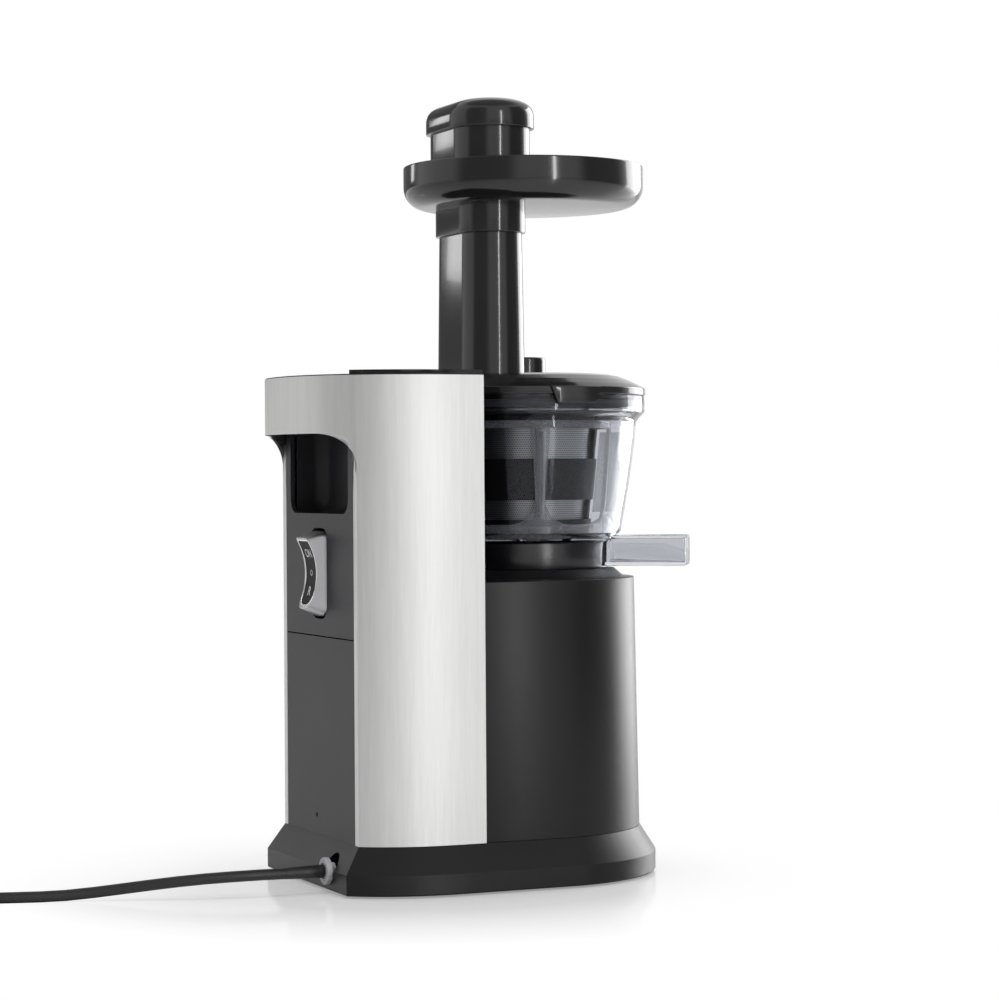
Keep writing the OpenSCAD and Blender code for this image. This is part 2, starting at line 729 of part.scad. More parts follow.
module motor_windings() color([0.7, 0.35, 0.15]) translate([0, front_y, 0])
    for (z = [stator_z - coil_head_h, stator_z + stator_h]) translate([0, 0, z]) intersection() {
        tube(stator_w / 2 - 4, rotor_r + 3, coil_head_h);
        translate([0, 0, -1]) cylinder(r1 = stator_w / 2 + (z < stator_z ? -12 : 3), r2 = stator_w / 2 + (z < stator_z ? 3 : -12),
            h = coil_head_h + 2);
    }

module motor_rotor() color([0.5, 0.5, 0.52]) translate([0, front_y, stator_z - 2])
    tube(rotor_r, motor_shaft_r, stator_h + 4);

module motor_shaft() color([0.75, 0.75, 0.76]) translate([0, front_y, 0]) {
    translate([0, 0, fan_z - 2]) cylinder(r = motor_shaft_r, h = stage1_z + stage1_h + 1 - fan_z + 2);
    translate([0, 0, stage1_z]) spur_gear(pinion_teeth, lay_module, stage1_h, 75);
}

module cooling_fan() color([0.25, 0.25, 0.26]) translate([0, front_y, fan_z]) {
    tube(9, motor_shaft_r, fan_h);
    around(fan_blades) translate([8, 0, fan_h / 2]) rotate([35, 0, 0]) translate([0, -0.75, -fan_h / 2])
        cube([26, 1.5, fan_h]);
    tube(34, 32.5, 3);
}

// ---------------------------------------------------------------- gearbox

ear_at = [[output_case_r + 2, bowl_y], [-output_case_r - 2, bowl_y], [lay_case_r + 2, lay_y], [-lay_case_r - 2, lay_y]];

module gearbox_plan(grow) {
    translate([0, bowl_y]) circle(r = output_case_r + grow);
    translate([0, lay_y]) circle(r = lay_case_r + grow);
    translate([-lay_case_r - grow, bowl_y]) square([2 * (lay_case_r + grow), lay_y - bowl_y]);
}

module gearbox_ears() for (p = ear_at) translate(p) circle(r = 4.5);

module gearbox_case() color([0.55, 0.55, 0.57]) difference() {
    union() {
        translate([0, 0, case_z]) linear_extrude(case_top_z - case_z) {
            gearbox_plan(0);
            gearbox_ears();
        }
        for (x = [-1, 1], y = [-1, 1])
            translate([x * bolt_at, front_y + y * bolt_at, case_z]) cylinder(r = bolt_r + 2, h = case_wall);
    }
    translate([0, 0, case_z + case_wall]) difference() {
        linear_extrude(case_top_z) gearbox_plan(-case_wall);
        translate([0, lay_y, -1]) cylinder(r = 10, h = 6);
    }
    translate([0, front_y, case_z - 1]) cylinder(r = 11, h = 8);
    translate([0, lay_y, case_z - 1]) cylinder(r = motor_shaft_r + 2.5, h = 12);
    for (p = ear_at) translate([p[0], p[1], case_top_z - 12]) cylinder(r = 1.5, h = 13);
    for (x = [-1, 1], y = [-1, 1])
        translate([x * bolt_at, front_y + y * bolt_at, case_z - 1]) cylinder(r = bolt_r + 0.3, h = case_wall + 2);
}

module gearbox_cover() color([0.55, 0.55, 0.57]) difference() {
    union() {
        translate([0, 0, case_top_z]) linear_extrude(cover_t) {
            gearbox_plan(0);
            gearbox_ears();
        }
        at_bowl(case_top_z) cylinder(r = shaft_r + 7, h = output_bush_h);
        translate([0, lay_y, case_top_z]) cylinder(r = 10, h = cover_t + 4);
    }
    at_bowl(case_top_z - 1) cylinder(r = shaft_r + 3, h = output_bush_h + 2);
    translate([0, lay_y, case_top_z - 1]) cylinder(r = motor_shaft_r + 2.5, h = cover_t + 3);
    for (p = ear_at) translate([p[0], p[1], case_top_z - 1]) cylinder(r = 1.8, h = cover_t + 2);
}

module gearbox_screws() color([0.8, 0.8, 0.8]) for (p = ear_at) translate([p[0], p[1], case_top_z - 10]) {
    cylinder(r = 1.4, h = 10 + cover_t);
    translate([0, 0, 10 + cover_t]) cylinder(r = 3, h = 2);
}

module shaft_bushes() color([0.75, 0.55, 0.3]) {
    at_bowl(case_top_z) tube(shaft_r + 3, shaft_r + bush_play, output_bush_h);
    translate([0, lay_y, case_z]) tube(motor_shaft_r + 2.5, motor_shaft_r + bush_play, 8);
    translate([0, lay_y, case_top_z]) tube(motor_shaft_r + 2.5, motor_shaft_r + bush_play, cover_t + 2);
    translate([0, front_y, bracket_z]) tube(7, motor_shaft_r + bush_play, bracket_t + 5);
    translate([0, front_y, upper_z]) tube(7, motor_shaft_r + bush_play, bracket_t + 3);
}

module output_gear() color([0.85, 0.82, 0.72]) at_bowl(stage2_z) difference() {
    spur_gear(output_teeth, output_module, stage2_h, 90 - 180 / output_teeth);
    translate([0, 0, -1]) cylinder(r = shaft_r, h = stage2_h + 2);
    translate([0, 0, stage2_h - 3]) tube(34, 14, 4);
}

module drive_shaft() color([0.8, 0.8, 0.82]) at_bowl(0) {
    translate([0, 0, stage2_z - 1.5]) cylinder(r = shaft_r, h = bowl_floor_z - stage2_z + 1.5);
    translate([0, 0, bowl_floor_z]) cylinder(r = shaft_r - 0.5, h = 26, $fn = 6);
}

module lay_gear() color([0.8, 0.8, 0.82]) translate([0, lay_y, 0]) {
    translate([0, 0, case_z + 1]) cylinder(r = motor_shaft_r, h = case_top_z + cover_t - case_z);
    translate([0, 0, stage1_z]) spur_gear(lay_teeth, lay_module, stage1_h, -90);
    translate([0, 0, stage1_z + stage1_h - eps]) spur_gear(pinion_teeth, output_module, case_top_z - stage1_z - stage1_h - 1, -90);
}

// ---------------------------------------------------------------- controls

module rocker_arc(inset) translate([0, panel_y + rocker_out - inset, rocker_z]) {
    r = (rocker_h * rocker_h / 4 + rocker_dip * rocker_dip) / (2 * rocker_dip);
    translate([-rocker_w, r - rocker_dip, 0]) rotate([0, 90, 0]) cylinder(r = r, h = 2 * rocker_w, $fn = 180);
}

module rocker() color([0.75, 0.75, 0.77]) difference() {
    union() {
        translate([-rocker_w / 2, panel_y - 1.8, rocker_z - rocker_h / 2]) cube([rocker_w, rocker_out + 1.8, rocker_h]);
        translate([-rocker_w / 2 + 1, pivot_y - 6, rocker_z - 7]) cube([rocker_w - 2, pivot_in + 4.3, 14]);
    }
    rocker_arc(0);
    translate([-rocker_w, pivot_y, rocker_z]) rotate([0, 90, 0]) cylinder(r = pin_r + seat_play, h = 2 * rocker_w);
    translate([-rocker_w / 2 + 3.5, 0, rocker_z - rocker_h / 2 + 3.5]) intersection() {
        translate([0, panel_y, 0]) cube([rocker_w - 7, rocker_out + 1, rocker_h - 7]);
        translate([rocker_w / 2 - 3.5, 0, -rocker_z + rocker_h / 2 - 3.5]) rocker_arc(0.8);
    }
}

module rocker_inlay() color([0.12, 0.12, 0.13]) difference() {
    intersection() {
        translate([-rocker_w / 2 + 3.6, panel_y, rocker_z - rocker_h / 2 + 3.6])
            cube([rocker_w - 7.2, rocker_out + 1, rocker_h - 7.2]);
        rocker_arc(0.75);
    }
    rocker_arc(0);
}

module switch_body() color([0.14, 0.14, 0.15]) {
    depth = pivot_in + 11.5;
    y = panel_y - wall - seat_play;
    difference() {
        translate([-switch_w / 2, panel_y - depth, rocker_z - switch_h / 2]) cube([switch_w, y - panel_y + depth, switch_h]);
        translate([-rocker_w / 2 - 0.4, pivot_y - 8.8, rocker_z - rocker_h / 2 - 1.8])
            cube([rocker_w + 0.8, 30, rocker_h + 3.6]);
    }
    translate([-switch_w / 2, pivot_y, rocker_z]) rotate([0, 90, 0]) cylinder(r = pin_r, h = switch_w);
    for (x = [-8, 0, 8]) translate([x - 1.5, panel_y - depth - 6, rocker_z - 8]) cube([3, 6 + eps, 0.8]);
}

module control_board() color([0.1, 0.35, 0.2]) {
    y = panel_y - wall;
    for (x = [-28, 28], z = [58, 108]) translate([x, y - 8, z]) rotate([-90, 0, 0]) cylinder(r = 3, h = 8 - seat_play);
    translate([-34, y - 9.6, 50]) cube([68, 1.6, 66]);
    translate([-20, y - 25.6, 60]) cube([24, 16 + eps, 18]);
    translate([10, y - 21.6, 88]) cube([18, 12 + eps, 14]);
    translate([-12, y - 9.6 + eps, 96]) rotate([90, 0, 0]) cylinder(r = 7, h = 20);
}

module run_capacitor() color([0.2, 0.2, 0.25]) translate([-36, lay_y + lay_case_r - 6, floor_z]) {
    cylinder(r = 15, h = 58);
    for (x = [-5, 5]) translate([x - 1, -3, 58 - eps]) cube([2, 6, 8]);
}

module interlock_switch() color([0.15, 0.15, 0.4]) translate([-10, bowl_y + rim_r + 2.3 + wall + 0.2, tower_z - 26])
    cube([20, 7, 11]);

// ---------------------------------------------------------------- mains cord

module cord_gland() color([0.62, 0.62, 0.64]) translate([gland_x, 0, gland_z]) rotate([-90, 0, 0]) {
    translate([0, 0, plinth_rear_y - 3]) cylinder(r = 4.5, h = 3 + eps);
    translate([0, 0, plinth_rear_y]) cylinder(r = gland_r, h = gland_t - 0.8);
    translate([0, 0, plinth_rear_y + gland_t - 0.8]) cylinder(r1 = gland_r, r2 = gland_r - 0.8, h = 0.8);
}

module strain_relief() color([0.08, 0.08, 0.08]) translate([gland_x, plinth_rear_y + gland_t, gland_z])
    rotate([-90, 0, 0]) cylinder(r1 = relief_r, r2 = cord_r, h = relief_l);

module cord_lead() color([0.08, 0.08, 0.08])
    swept_tube(concat([lead_start], [for (i = [1:len(lead_points) - 1]) lead_points[i]]), cord_r * 0.92, 8,
        [0, 1, 0], [-sin(coil_start), cos(coil_start), 0]);

function smooth(t) = let (u = max(0, min(1, t))) u * u * (3 - 2 * u);
function coil_point(t) = let (
    r = coil_out_r - coil_pitch * min(t, coil_turns - t),
    a = coil_start + 360 * t,
    z = cord_r + coil_pitch * smooth((t - coil_turns / 2 + 0.25) / 0.5)
) [coil_x + r * cos(a), coil_y + r * sin(a), z];
coil_steps = floor(coil_turns * coil_rings);
coil_points = concat(
    [for (i = [0:coil_steps]) coil_point(i / coil_rings)],
    [coil_point(coil_turns), [plug_x, plug_y, plug_z]]
);

// Least distance between turns of the coil, less the cord
coil_least = min([for (i = [0:coil_steps], j = [i + 12:1:coil_steps])
    norm(coil_points[i] - coil_points[j])]) - cord_d;
echo(coil_gap_mm = coil_least);

module cord_coil() color([0.08, 0.08, 0.08])
    swept_tube(coil_points, cord_r * 0.92, 6, [-sin(coil_start), cos(coil_start), 0], [0, 1, 0]);

module coil_tie() color([0.15, 0.15, 0.15]) {
    tie_t = 0.8;
    low_r = coil_out_r - coil_pitch * coil_turns / 2 - cord_r - 1.3;
    high_r = coil_out_r + cord_r + 1.3;
    top = 2 * cord_r + coil_pitch + 1.2;
    translate([coil_x, coil_y, 0]) rotate(150) difference() {
        translate([low_r, -4, 0]) cube([high_r - low_r, 8, top]);
        translate([low_r + tie_t, -5, tie_t / 4]) cube([high_r - low_r - 2 * tie_t, 10, top - tie_t * 5 / 4]);
    }
}

module plug_body() color([0.1, 0.1, 0.1]) translate([plug_x, plug_y, plug_z]) {
    rotate([-90, 0, 0]) cylinder(r1 = cord_r + 0.4, r2 = 6.5, h = plug_neck_l + 1);
    translate([-plug_w / 2, plug_neck_l, -plug_z]) difference() {
        cube([plug_w, plug_l, 2 * plug_z]);
        for (x = [-0.01, plug_w - 1.5 + 0.01]) translate([x, 8, 2]) cube([1.5, 14, 2 * plug_z - 4]);
    }
}

module plug_pins() color([0.8, 0.75, 0.5]) for (x = [-6.5, 6.5])
    translate([plug_x + x, plug_y + plug_neck_l + plug_l, plug_z]) rotate([-90, 0, 0]) {
        cylinder(r = 2, h = 17);
        translate([0, 0, 17 - eps]) cylinder(r1 = 2, r2 = 1, h = 2);
    }

// ---------------------------------------------------------------- bowl

module spout_box(dir, r0, r1, w, z0, z1) rotate(dir) translate([r0, -w / 2, z0]) cube([r1 - r0, w, z1 - z0]);

spout_z = ring_z + 0.9;
spout_h = bowl_floor_z + 1.6 - spout_z;

module juice_bowl() color([0.75, 0.78, 0.8, 0.45]) at_bowl() difference() {
    union() {
        rotate_extrude() polygon(concat(
            [[bowl_bore_r, bowl_z], [base_ring_r, bowl_z], [base_ring_r + 4, bowl_z + 2]],
            [for (i = [0:8]) let (z = wall_z + bowl_wall_h * i / 8) [bowl_r(z), z]],
            [[rim_r - 2, rim_z - 2], [rim_r, rim_z], [rim_r, rim_top_z], [rim_r - bowl_wall, rim_top_z],
             [rim_r - bowl_wall, rim_z + 1], [bowl_top_r - bowl_wall + 1, neck_z + 3.5]],
            [for (i = [8:-1:0]) let (z = wall_z + bowl_wall_h * i / 8) [bowl_r(z) - bowl_wall, z]],
            [[base_ring_r + 1, bowl_floor_z], [bowl_bore_r, bowl_floor_z]]
        ));
        translate([0, 0, bowl_z - 8]) tube(bowl_bore_r + 3, bowl_bore_r, 8 + eps);
        spout_box(juice_dir, base_ring_r - 5, base_ring_r + 5, juice_w, spout_z, bowl_floor_z);
        spout_box(juice_dir, base_ring_r + 4.5, juice_reach, juice_w, spout_z, spout_z + spout_h);
        spout_box(pulp_dir, 22, pulp_reach, pulp_w, spout_z, bowl_floor_z);
    }
    spout_box(juice_dir, base_ring_r - 3, juice_reach + 1, juice_w - 2 * spout_wall, spout_z + spout_wall, spout_z + spout_h - spout_wall);
    spout_box(juice_dir, base_ring_r - 3, base_ring_r + 3, juice_w - 2 * spout_wall, spout_z + spout_wall, bowl_floor_z + 1);
    spout_box(pulp_dir, 24, pulp_reach + 1, pulp_w - 2 * spout_wall, spout_z + spout_wall, bowl_z);
    spout_box(pulp_dir, 24, 33.4, 16, bowl_z - 1, bowl_floor_z + 1);
}

module bowl_base() color([0.08, 0.08, 0.09]) at_bowl() difference() {
    translate([0, 0, ring_z]) tube(base_ring_r, base_ring_r - 3.5, base_ring_h);
    spout_box(juice_dir, 30, 60, juice_w + 2 * seat_play, spout_z - seat_play, bowl_z + 1);
    spout_box(pulp_dir, 30, 60, pulp_w + 2 * seat_play, spout_z - seat_play, bowl_z + 1);
}

module bowl_seal() color([0.55, 0.15, 0.12]) at_bowl(bowl_z - 6) tube(bowl_bore_r - seat_play / 2, shaft_r + seat_play, 6);

module pulp_plug() color([0.15, 0.15, 0.16]) at_bowl(spout_z + spout_wall + seat_play) rotate(pulp_dir)
    translate([base_ring_r - 11, -(pulp_w - 2 * spout_wall) / 2 + seat_play, 0])
        cube([6, pulp_w - 2 * spout_wall - 2 * seat_play, 3]);

module idler_pin() color([0.8, 0.8, 0.82]) at_bowl(bowl_floor_z) rotate(idler_dir) translate([idler_at, 0, 0])
    cylinder(r = idler_pin_r, h = gear_h + 0.9);

module brush_idler() color([0.85, 0.85, 0.8]) at_bowl(gear_z) rotate(idler_dir) translate([idler_at, 0, 0])
    rotate(-idler_dir) difference() {
        spur_gear(idler_teeth, brush_module, gear_h, idler_dir + 180 - 180 / idler_teeth);
        translate([0, 0, -1]) cylinder(r = idler_pin_r + bush_play, h = gear_h + 2);
    }

module strainer_frame() color([0.1, 0.1, 0.11]) at_bowl() {
    plate_z2 = strainer_z + 1.8;
    band_low = strainer_z + 14.5;
    band_high = strainer_top_z - 25;
    difference() {
        rotate_extrude() polygon([
            [plate_hole_r, strainer_z], [strainer_low_r, strainer_z],
            [strainer_r(strainer_top_z - 6), strainer_top_z - 6], [strainer_top_r + 2.5, strainer_top_z - 6],
            [strainer_top_r + 2.5, strainer_top_z], [mesh_r, strainer_top_z],
            [strainer_r(plate_z2) - strainer_wall, plate_z2], [plate_hole_r, plate_z2]
        ]);
        for (row = [[strainer_z + 3.6, band_low], [band_high, strainer_top_z - 8]])
            around(strainer_ribs, 180 / strainer_ribs)
                translate([strainer_low_r - 6, -(PI * strainer_low_r / strainer_ribs - 1.4), row[0]])
                    cube([20, 2 * (PI * strainer_low_r / strainer_ribs - 1.4), row[1] - row[0]]);
        spout_box(pulp_dir, 24.8, 32.6, 14.4, strainer_z - 1, plate_z2 + 1);
    }
    // Pulp duct and two legs, down to the bowl's floor
    difference() {
        spout_box(pulp_dir, 24.2, 33.2, 15.8, bowl_floor_z, strainer_z + eps);
        spout_box(pulp_dir, 24.8, 32.6, 14.4, bowl_floor_z - 1, strainer_z + 1);
    }
    for (a = [pulp_dir - 240, pulp_dir - 120]) rotate(a) translate([leg_r, 0, bowl_floor_z])
        cylinder(r = 2.5, h = strainer_z - bowl_floor_z + eps);
}

module strainer_mesh() color([0.72, 0.73, 0.75]) at_bowl() {
    z0 = strainer_z + 2.2;
    z1 = strainer_top_z - 1;
    outer0 = strainer_r(z0) - strainer_wall - 0.05;
    outer1 = mesh_r - (strainer_top_z - z1) * (strainer_top_r - strainer_low_r) / strainer_h - 0.2;
    difference() {
        rotate_extrude() polygon([[outer0, z0], [outer1, z1], [outer1 - mesh_t, z1], [outer0 - mesh_t, z0]]);
        for (row = [[strainer_z + 4.6, strainer_z + 13.5], [strainer_top_z - 24, strainer_top_z - 9]])
            around(mesh_slots) translate([strainer_low_r - 8, -0.6, row[0]]) cube([16, 1.2, row[1] - row[0]]);
    }
}

// ---------------------------------------------------------------- brush and auger

module brush_frame() color([0.25, 0.25, 0.27]) at_bowl() {
    ring_r = ring_teeth * brush_module / 2;
    root_r = ring_r + 1.25 * brush_module + 0.6;
    top_z = gear_z + brush_h;
    gear_top_z = gear_z + gear_h;
    sill_z = gear_top_z + 2.4;
    half_w = brush_top_r * sin(180 / pillars) - 4.5;
    difference() {
        translate([0, 0, gear_z]) cylinder(r = brush_low_r, h = gear_h);
        translate([0, 0, gear_z - 1]) ring_space(ring_teeth, brush_module, gear_h + 2, idler_dir - 180 / ring_teeth);
    }
    difference() {
        rotate_extrude() polygon([
            [root_r, gear_top_z - eps], [brush_low_r, gear_top_z - eps], [brush_top_r, top_z],
            [brush_top_r - brush_wall, top_z], [brush_r(sill_z + 3) - brush_wall, sill_z + 3], [root_r, sill_z]
        ]);
        around(pillars, pillar_dir + 180 / pillars) rotate([90, 0, 90]) translate([0, 0, 20])
            linear_extrude(40) polygon(window_points(half_w, 14, sill_z, top_z - 4));
    }
}

// U-shaped window with round lower corners, from its sill up
function window_points(half_w, r, low, high) = concat(
    [for (i = [0:6]) let (a = 180 + 15 * i) [-half_w + r + r * cos(a), low + r + r * sin(a)]],
    [for (i = [0:6]) let (a = 270 + 15 * i) [half_w - r + r * cos(a), low + r + r * sin(a)]],
    [[half_w, high], [-half_w, high]]
);

module wiper_blades() color([0.6, 0.6, 0.62]) at_bowl() {
    z0 = gear_z + gear_h + 9;
    z1 = gear_z + brush_h - 6;
    around(pillars, pillar_dir) rotate([90, 0, 0]) translate([0, 0, -blade_t / 2]) linear_extrude(blade_t) {
        polygon([[strainer_r(z0) + 0.4, z0], [brush_r(z0) - brush_wall - 0.08, z0],
                 [brush_r(z1) - brush_wall - 0.08, z1], [strainer_r(z1) + 0.4, z1]]);
        polygon(concat([for (i = [0:4]) let (z = z0 + (z1 - z0) * i / 4) [bowl_r(z) - bowl_wall - 0.5, z]],
            [[brush_r(z1) + 0.05, z1], [brush_r(z0) + 0.05, z0]]));
    }
}

module flight(first) {
    steps = 28;
    z0 = auger_z + flight_t / 2 + 0.6;
    z1 = auger_top_z() - 12;
    rings = [for (i = [0:steps]) let (
        t = i / steps, a = first - flight_turn * t, z = z0 + (z1 - z0) * t,
        r0 = core_r(z) - 2, r1 = max(core_r(z) + 0.5, flight_r(z) - 0.1 - 4 * pow(t, 8))
    ) [[r0 * cos(a), r0 * sin(a), z - flight_t / 2 - 0.6], [r0 * cos(a), r0 * sin(a), z + flight_t / 2 + 0.6],
       [r1 * cos(a), r1 * sin(a), z + flight_t / 2 - 0.4], [r1 * cos(a), r1 * sin(a), z - flight_t / 2 + 0.4]]];
    loft_turned(rings);
}

module auger() color([0.12, 0.12, 0.13]) at_bowl() difference() {
    union() {
        rotate_extrude($fn = 48) polygon(concat(
            [[0, auger_z]],
            [for (i = [0:10]) let (z = auger_z + (auger_top_z() - auger_z) * i / 10) [core_r(z), z]],
            [[auger_pin_r, auger_top_z()], [auger_pin_r, auger_top_z() + 8], [auger_pin_r - 1, auger_top_z() + 9],
             [0, auger_top_z() + 9]]
        ));
        for (i = [0:flights - 1]) flight(360 * i / flights);
    }
    translate([0, 0, auger_z - 1]) cylinder(r = shaft_r + 2.2, h = 24, $fn = 48);
}

module auger_hub() color([0.7, 0.7, 0.68]) at_bowl() difference() {
    union() {
        translate([0, 0, gear_z]) spur_gear(auger_teeth, brush_module, gear_h, idler_dir);
        translate([0, 0, gear_z + gear_h - eps]) cylinder(r = shaft_r + 6, h = 2 * seat_play + 2 * eps);
        translate([0, 0, gear_z + gear_h + 2 * seat_play]) cylinder(r = plate_hole_r - 1.5, h = auger_z - gear_z - gear_h - 2 * seat_play);
        translate([0, 0, gear_z + gear_h]) cylinder(r = shaft_r + 2, h = auger_z - gear_z - gear_h + 22.5);
    }
    translate([0, 0, gear_z - 1]) cylinder(r = shaft_r - 0.2, h = 27, $fn = 6);
}

// ---------------------------------------------------------------- lid, tray and pusher

lid_rim_r = rim_r + 0.5;

// Outer radius and height of the lid's crown, from the rim to the middle
function lid_outer(inset) = [
    [lid_rim_r - inset, lid_z + 3.9], [lid_rim_r - 4.4 - inset, lid_z + 6.3 - inset * 0.4],
    [59.5 - inset, lid_z + 8.6 - inset * 0.7], [53.8 - inset, lid_z + 10.9 - inset * 0.8],
    [48, lid_top_z - 0.6 - inset], [42, lid_top_z - 0.2 - inset], [boss_r, lid_top_z - inset]
];

module latch_tab() intersection() {
    union() {
        translate([0, 0, lid_z - 5.4]) tube(lid_rim_r + 2.6, lid_rim_r + 0.2, 9.3);
        translate([0, 0, lid_z]) tube(lid_rim_r + 2.6, lid_rim_r - 3, 3.9);
    }
    rotate([90, 0, -90]) translate([0, 0, 40]) linear_extrude(60)
        polygon([[-15, lid_z + 4], [-11.3, lid_z - 5.5], [11.3, lid_z - 5.5], [15, lid_z + 4]]);
}

module lid() color([0.04, 0.04, 0.045]) {
    difference() {
        union() {
            at_bowl() {
                rotate_extrude() polygon(concat(
                    [[rim_r - 5.8, lid_z], [lid_rim_r, lid_z]], lid_outer(0),
                    [[boss_r, lid_top_z - 3], [48, lid_top_z - 3.6]],
                    [[53.8 - 2.5, lid_z + 8], [59.5 - 3, lid_z + 5.8], [rim_r - 5.8, lid_z + 3]]
                ));
                translate([0, 0, lid_top_z - 3]) cylinder(r = boss_r + 1, h = 3);
                translate([0, 0, lid_top_z - eps]) cylinder(r = boss_r, h = boss_h - 1);
                translate([0, 0, lid_top_z + boss_h - 1 - eps]) cylinder(r1 = boss_r, r2 = boss_r - 1, h = 1);
                translate([0, 0, auger_top_z() + 0.5]) cylinder(r = auger_pin_r + 5, h = lid_top_z - auger_top_z());
                translate([0, 0, strainer_top_z + 0.4]) tube(rim_r - 5.6, rim_r - 8, lid_z + 3.5 - strainer_top_z);
                latch_tab();
            }
            hull() {
                chute_block_end(chute_low_r, lid_top_z - 3);
                chute_block_end(chute_top_r, chute_top_z - 1);
            }
        }
        chute_block(bore_r, strainer_top_z, chute_top_z + 1);
        at_bowl(auger_top_z() - 1) cylinder(r = auger_pin_r + 3, h = 14);
    }
}

module chute_block_end(r, z) translate([0, chute_y, z]) linear_extrude(1) {
    translate([chute_half, 0]) circle(r = r, $fn = 48);
    translate([-chute_half, 0]) circle(r = r, $fn = 48);
}

module lid_bush() color([0.85, 0.82, 0.72]) at_bowl(auger_top_z() + 0.5)
    tube(auger_pin_r + 3 - 0.02, auger_pin_r + seat_play, 12.4);

module lid_gasket() color([0.55, 0.55, 0.57]) at_bowl(rim_z + 2) {
    tube(rim_r - bowl_wall - play, rim_r - 5.4, 4);
    translate([0, 0, 1.5]) tube(rim_r - bowl_wall - play / 2, rim_r - 4, 1);
}

module hopper_tray() color([0.04, 0.04, 0.045]) difference() {
    union() {
        at_bowl(tray_z) rotate_extrude() polygon(concat(
            [[0, 0]],
            [for (i = [0:6]) let (a = -90 + 15 * i)
                [tray_r - tray_edge_r + tray_edge_r * cos(a), tray_edge_r + tray_edge_r * sin(a)]],
            [[tray_r, tray_h - 0.8], [tray_r - 0.6, tray_h], [tray_r - 1.8, tray_h], [tray_r - 2.4, tray_h - 0.8]],
            [for (i = [6:-1:0]) let (a = -90 + 15 * i, r = tray_edge_r - 2.4)
                [tray_r - tray_edge_r + r * cos(a), tray_edge_r + r * sin(a)]],
            [[0, 2.4]]
        ));
        chute_block(chute_top_r + 2.2, collar_z, tray_z + 0.1);
    }
    chute_block(bore_r, collar_z - 1, tray_floor_z + 1);
    chute_block(chute_top_r + play, collar_z - 1, chute_top_z + play / 2);
}

module pusher_body() color([0.05, 0.05, 0.055]) difference() {
    union() {
        chute_block(grip_r, grip_z, cap_z);
        chute_block(bore_r - 0.5, plunger_z, grip_z + eps);
    }
    chute_block(grip_r - 2.5, grip_z + 2.5, cap_z + 1);
    chute_block(bore_r - 2.7, plunger_z + 2.2, grip_z + 4);
}

module pusher_cap() color([0.05, 0.05, 0.055]) {
    crown = 7;
    rings = [[0, 0.8], [0.8, 0], [cap_h - 9.5, 0.2], [cap_h - 7, 0.8], [cap_h - 4.6, 2.2], [cap_h - 2.8, 4.4],
             [cap_h - 1.6, crown], [cap_h - 0.5, 12], [cap_h, 19]];
    loft([for (p = rings) stadium_ring(cap_r - p[1], cap_z + p[0])]);
    chute_block(grip_r - 2.7, cap_z - 6, cap_z + 0.5);
}

base_plinth();
base_plate();
rubber_feet();
base_screws();
front_housing();
tower_liner();
steel_wrap();
handle_lining();
rear_panel_upper();
rear_panel_lower();
top_cover();
shaft_seal();
motor_bracket_lower();
motor_bracket_upper();
motor_bolts();
motor_stator();
motor_windings();
gearbox_case();
gearbox_cover();
gearbox_screws();
shaft_bushes();
switch_body();
control_board();
run_capacitor();
interlock_switch();
cord_gland();
strain_relief();
cord_lead();
cord_coil();
coil_tie();
plug_body();
plug_pins();
output_gear();
drive_shaft();
lay_gear();
motor_rotor();
motor_shaft();
cooling_fan();
rocker();
rocker_inlay();
juice_bowl();
bowl_base();
bowl_seal();
pulp_plug();
idler_pin();
strainer_frame();
strainer_mesh();
brush_idler();
brush_frame();
wiper_blades();
auger();
auger_hub();
lid();
lid_bush();
lid_gasket();
hopper_tray();
pusher_body();
pusher_cap();
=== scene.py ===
import math
import bmesh
import bpy
from mathutils import Matrix, Vector


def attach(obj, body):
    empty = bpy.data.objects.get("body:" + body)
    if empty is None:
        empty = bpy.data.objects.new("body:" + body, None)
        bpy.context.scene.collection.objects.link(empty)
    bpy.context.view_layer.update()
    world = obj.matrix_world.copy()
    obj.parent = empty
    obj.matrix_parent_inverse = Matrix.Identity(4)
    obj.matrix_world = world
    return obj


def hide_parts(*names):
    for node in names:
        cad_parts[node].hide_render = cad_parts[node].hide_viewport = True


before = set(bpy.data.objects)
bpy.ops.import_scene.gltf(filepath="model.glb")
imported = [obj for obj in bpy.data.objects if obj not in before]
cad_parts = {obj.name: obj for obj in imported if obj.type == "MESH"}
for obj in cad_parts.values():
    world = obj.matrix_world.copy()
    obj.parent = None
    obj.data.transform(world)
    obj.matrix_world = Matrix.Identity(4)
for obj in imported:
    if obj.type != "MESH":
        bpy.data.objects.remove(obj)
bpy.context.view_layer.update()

# ------------------------------------------------------------------ camera and studio
# The juicer is seen from behind its left side, with the camera level at half its height and far
# away. It stands on a pale glossy table with plain white behind it, in soft light from the sides
# and above.

camera = bpy.data.cameras.new("camera")
camera.lens = 102.1
camera.sensor_width = 36
camera.shift_x = 0.0026
camera.shift_y = -0.022
camera.clip_start = 0.1
camera.clip_end = 60
camera_stand = bpy.data.objects.new("camera", camera)
bpy.context.scene.collection.objects.link(camera_stand)
camera_stand.location = (-1.4729, 0.6293, 0.2225)
camera_stand.rotation_euler = Vector((0.9160, -0.4011, 0)).to_track_quat("-Z", "Y").to_euler()
camera_stand.rotation_euler.rotate_axis("Z", -0.0065)
bpy.context.scene.camera = camera_stand
bpy.context.scene.view_settings.view_transform = "Standard"


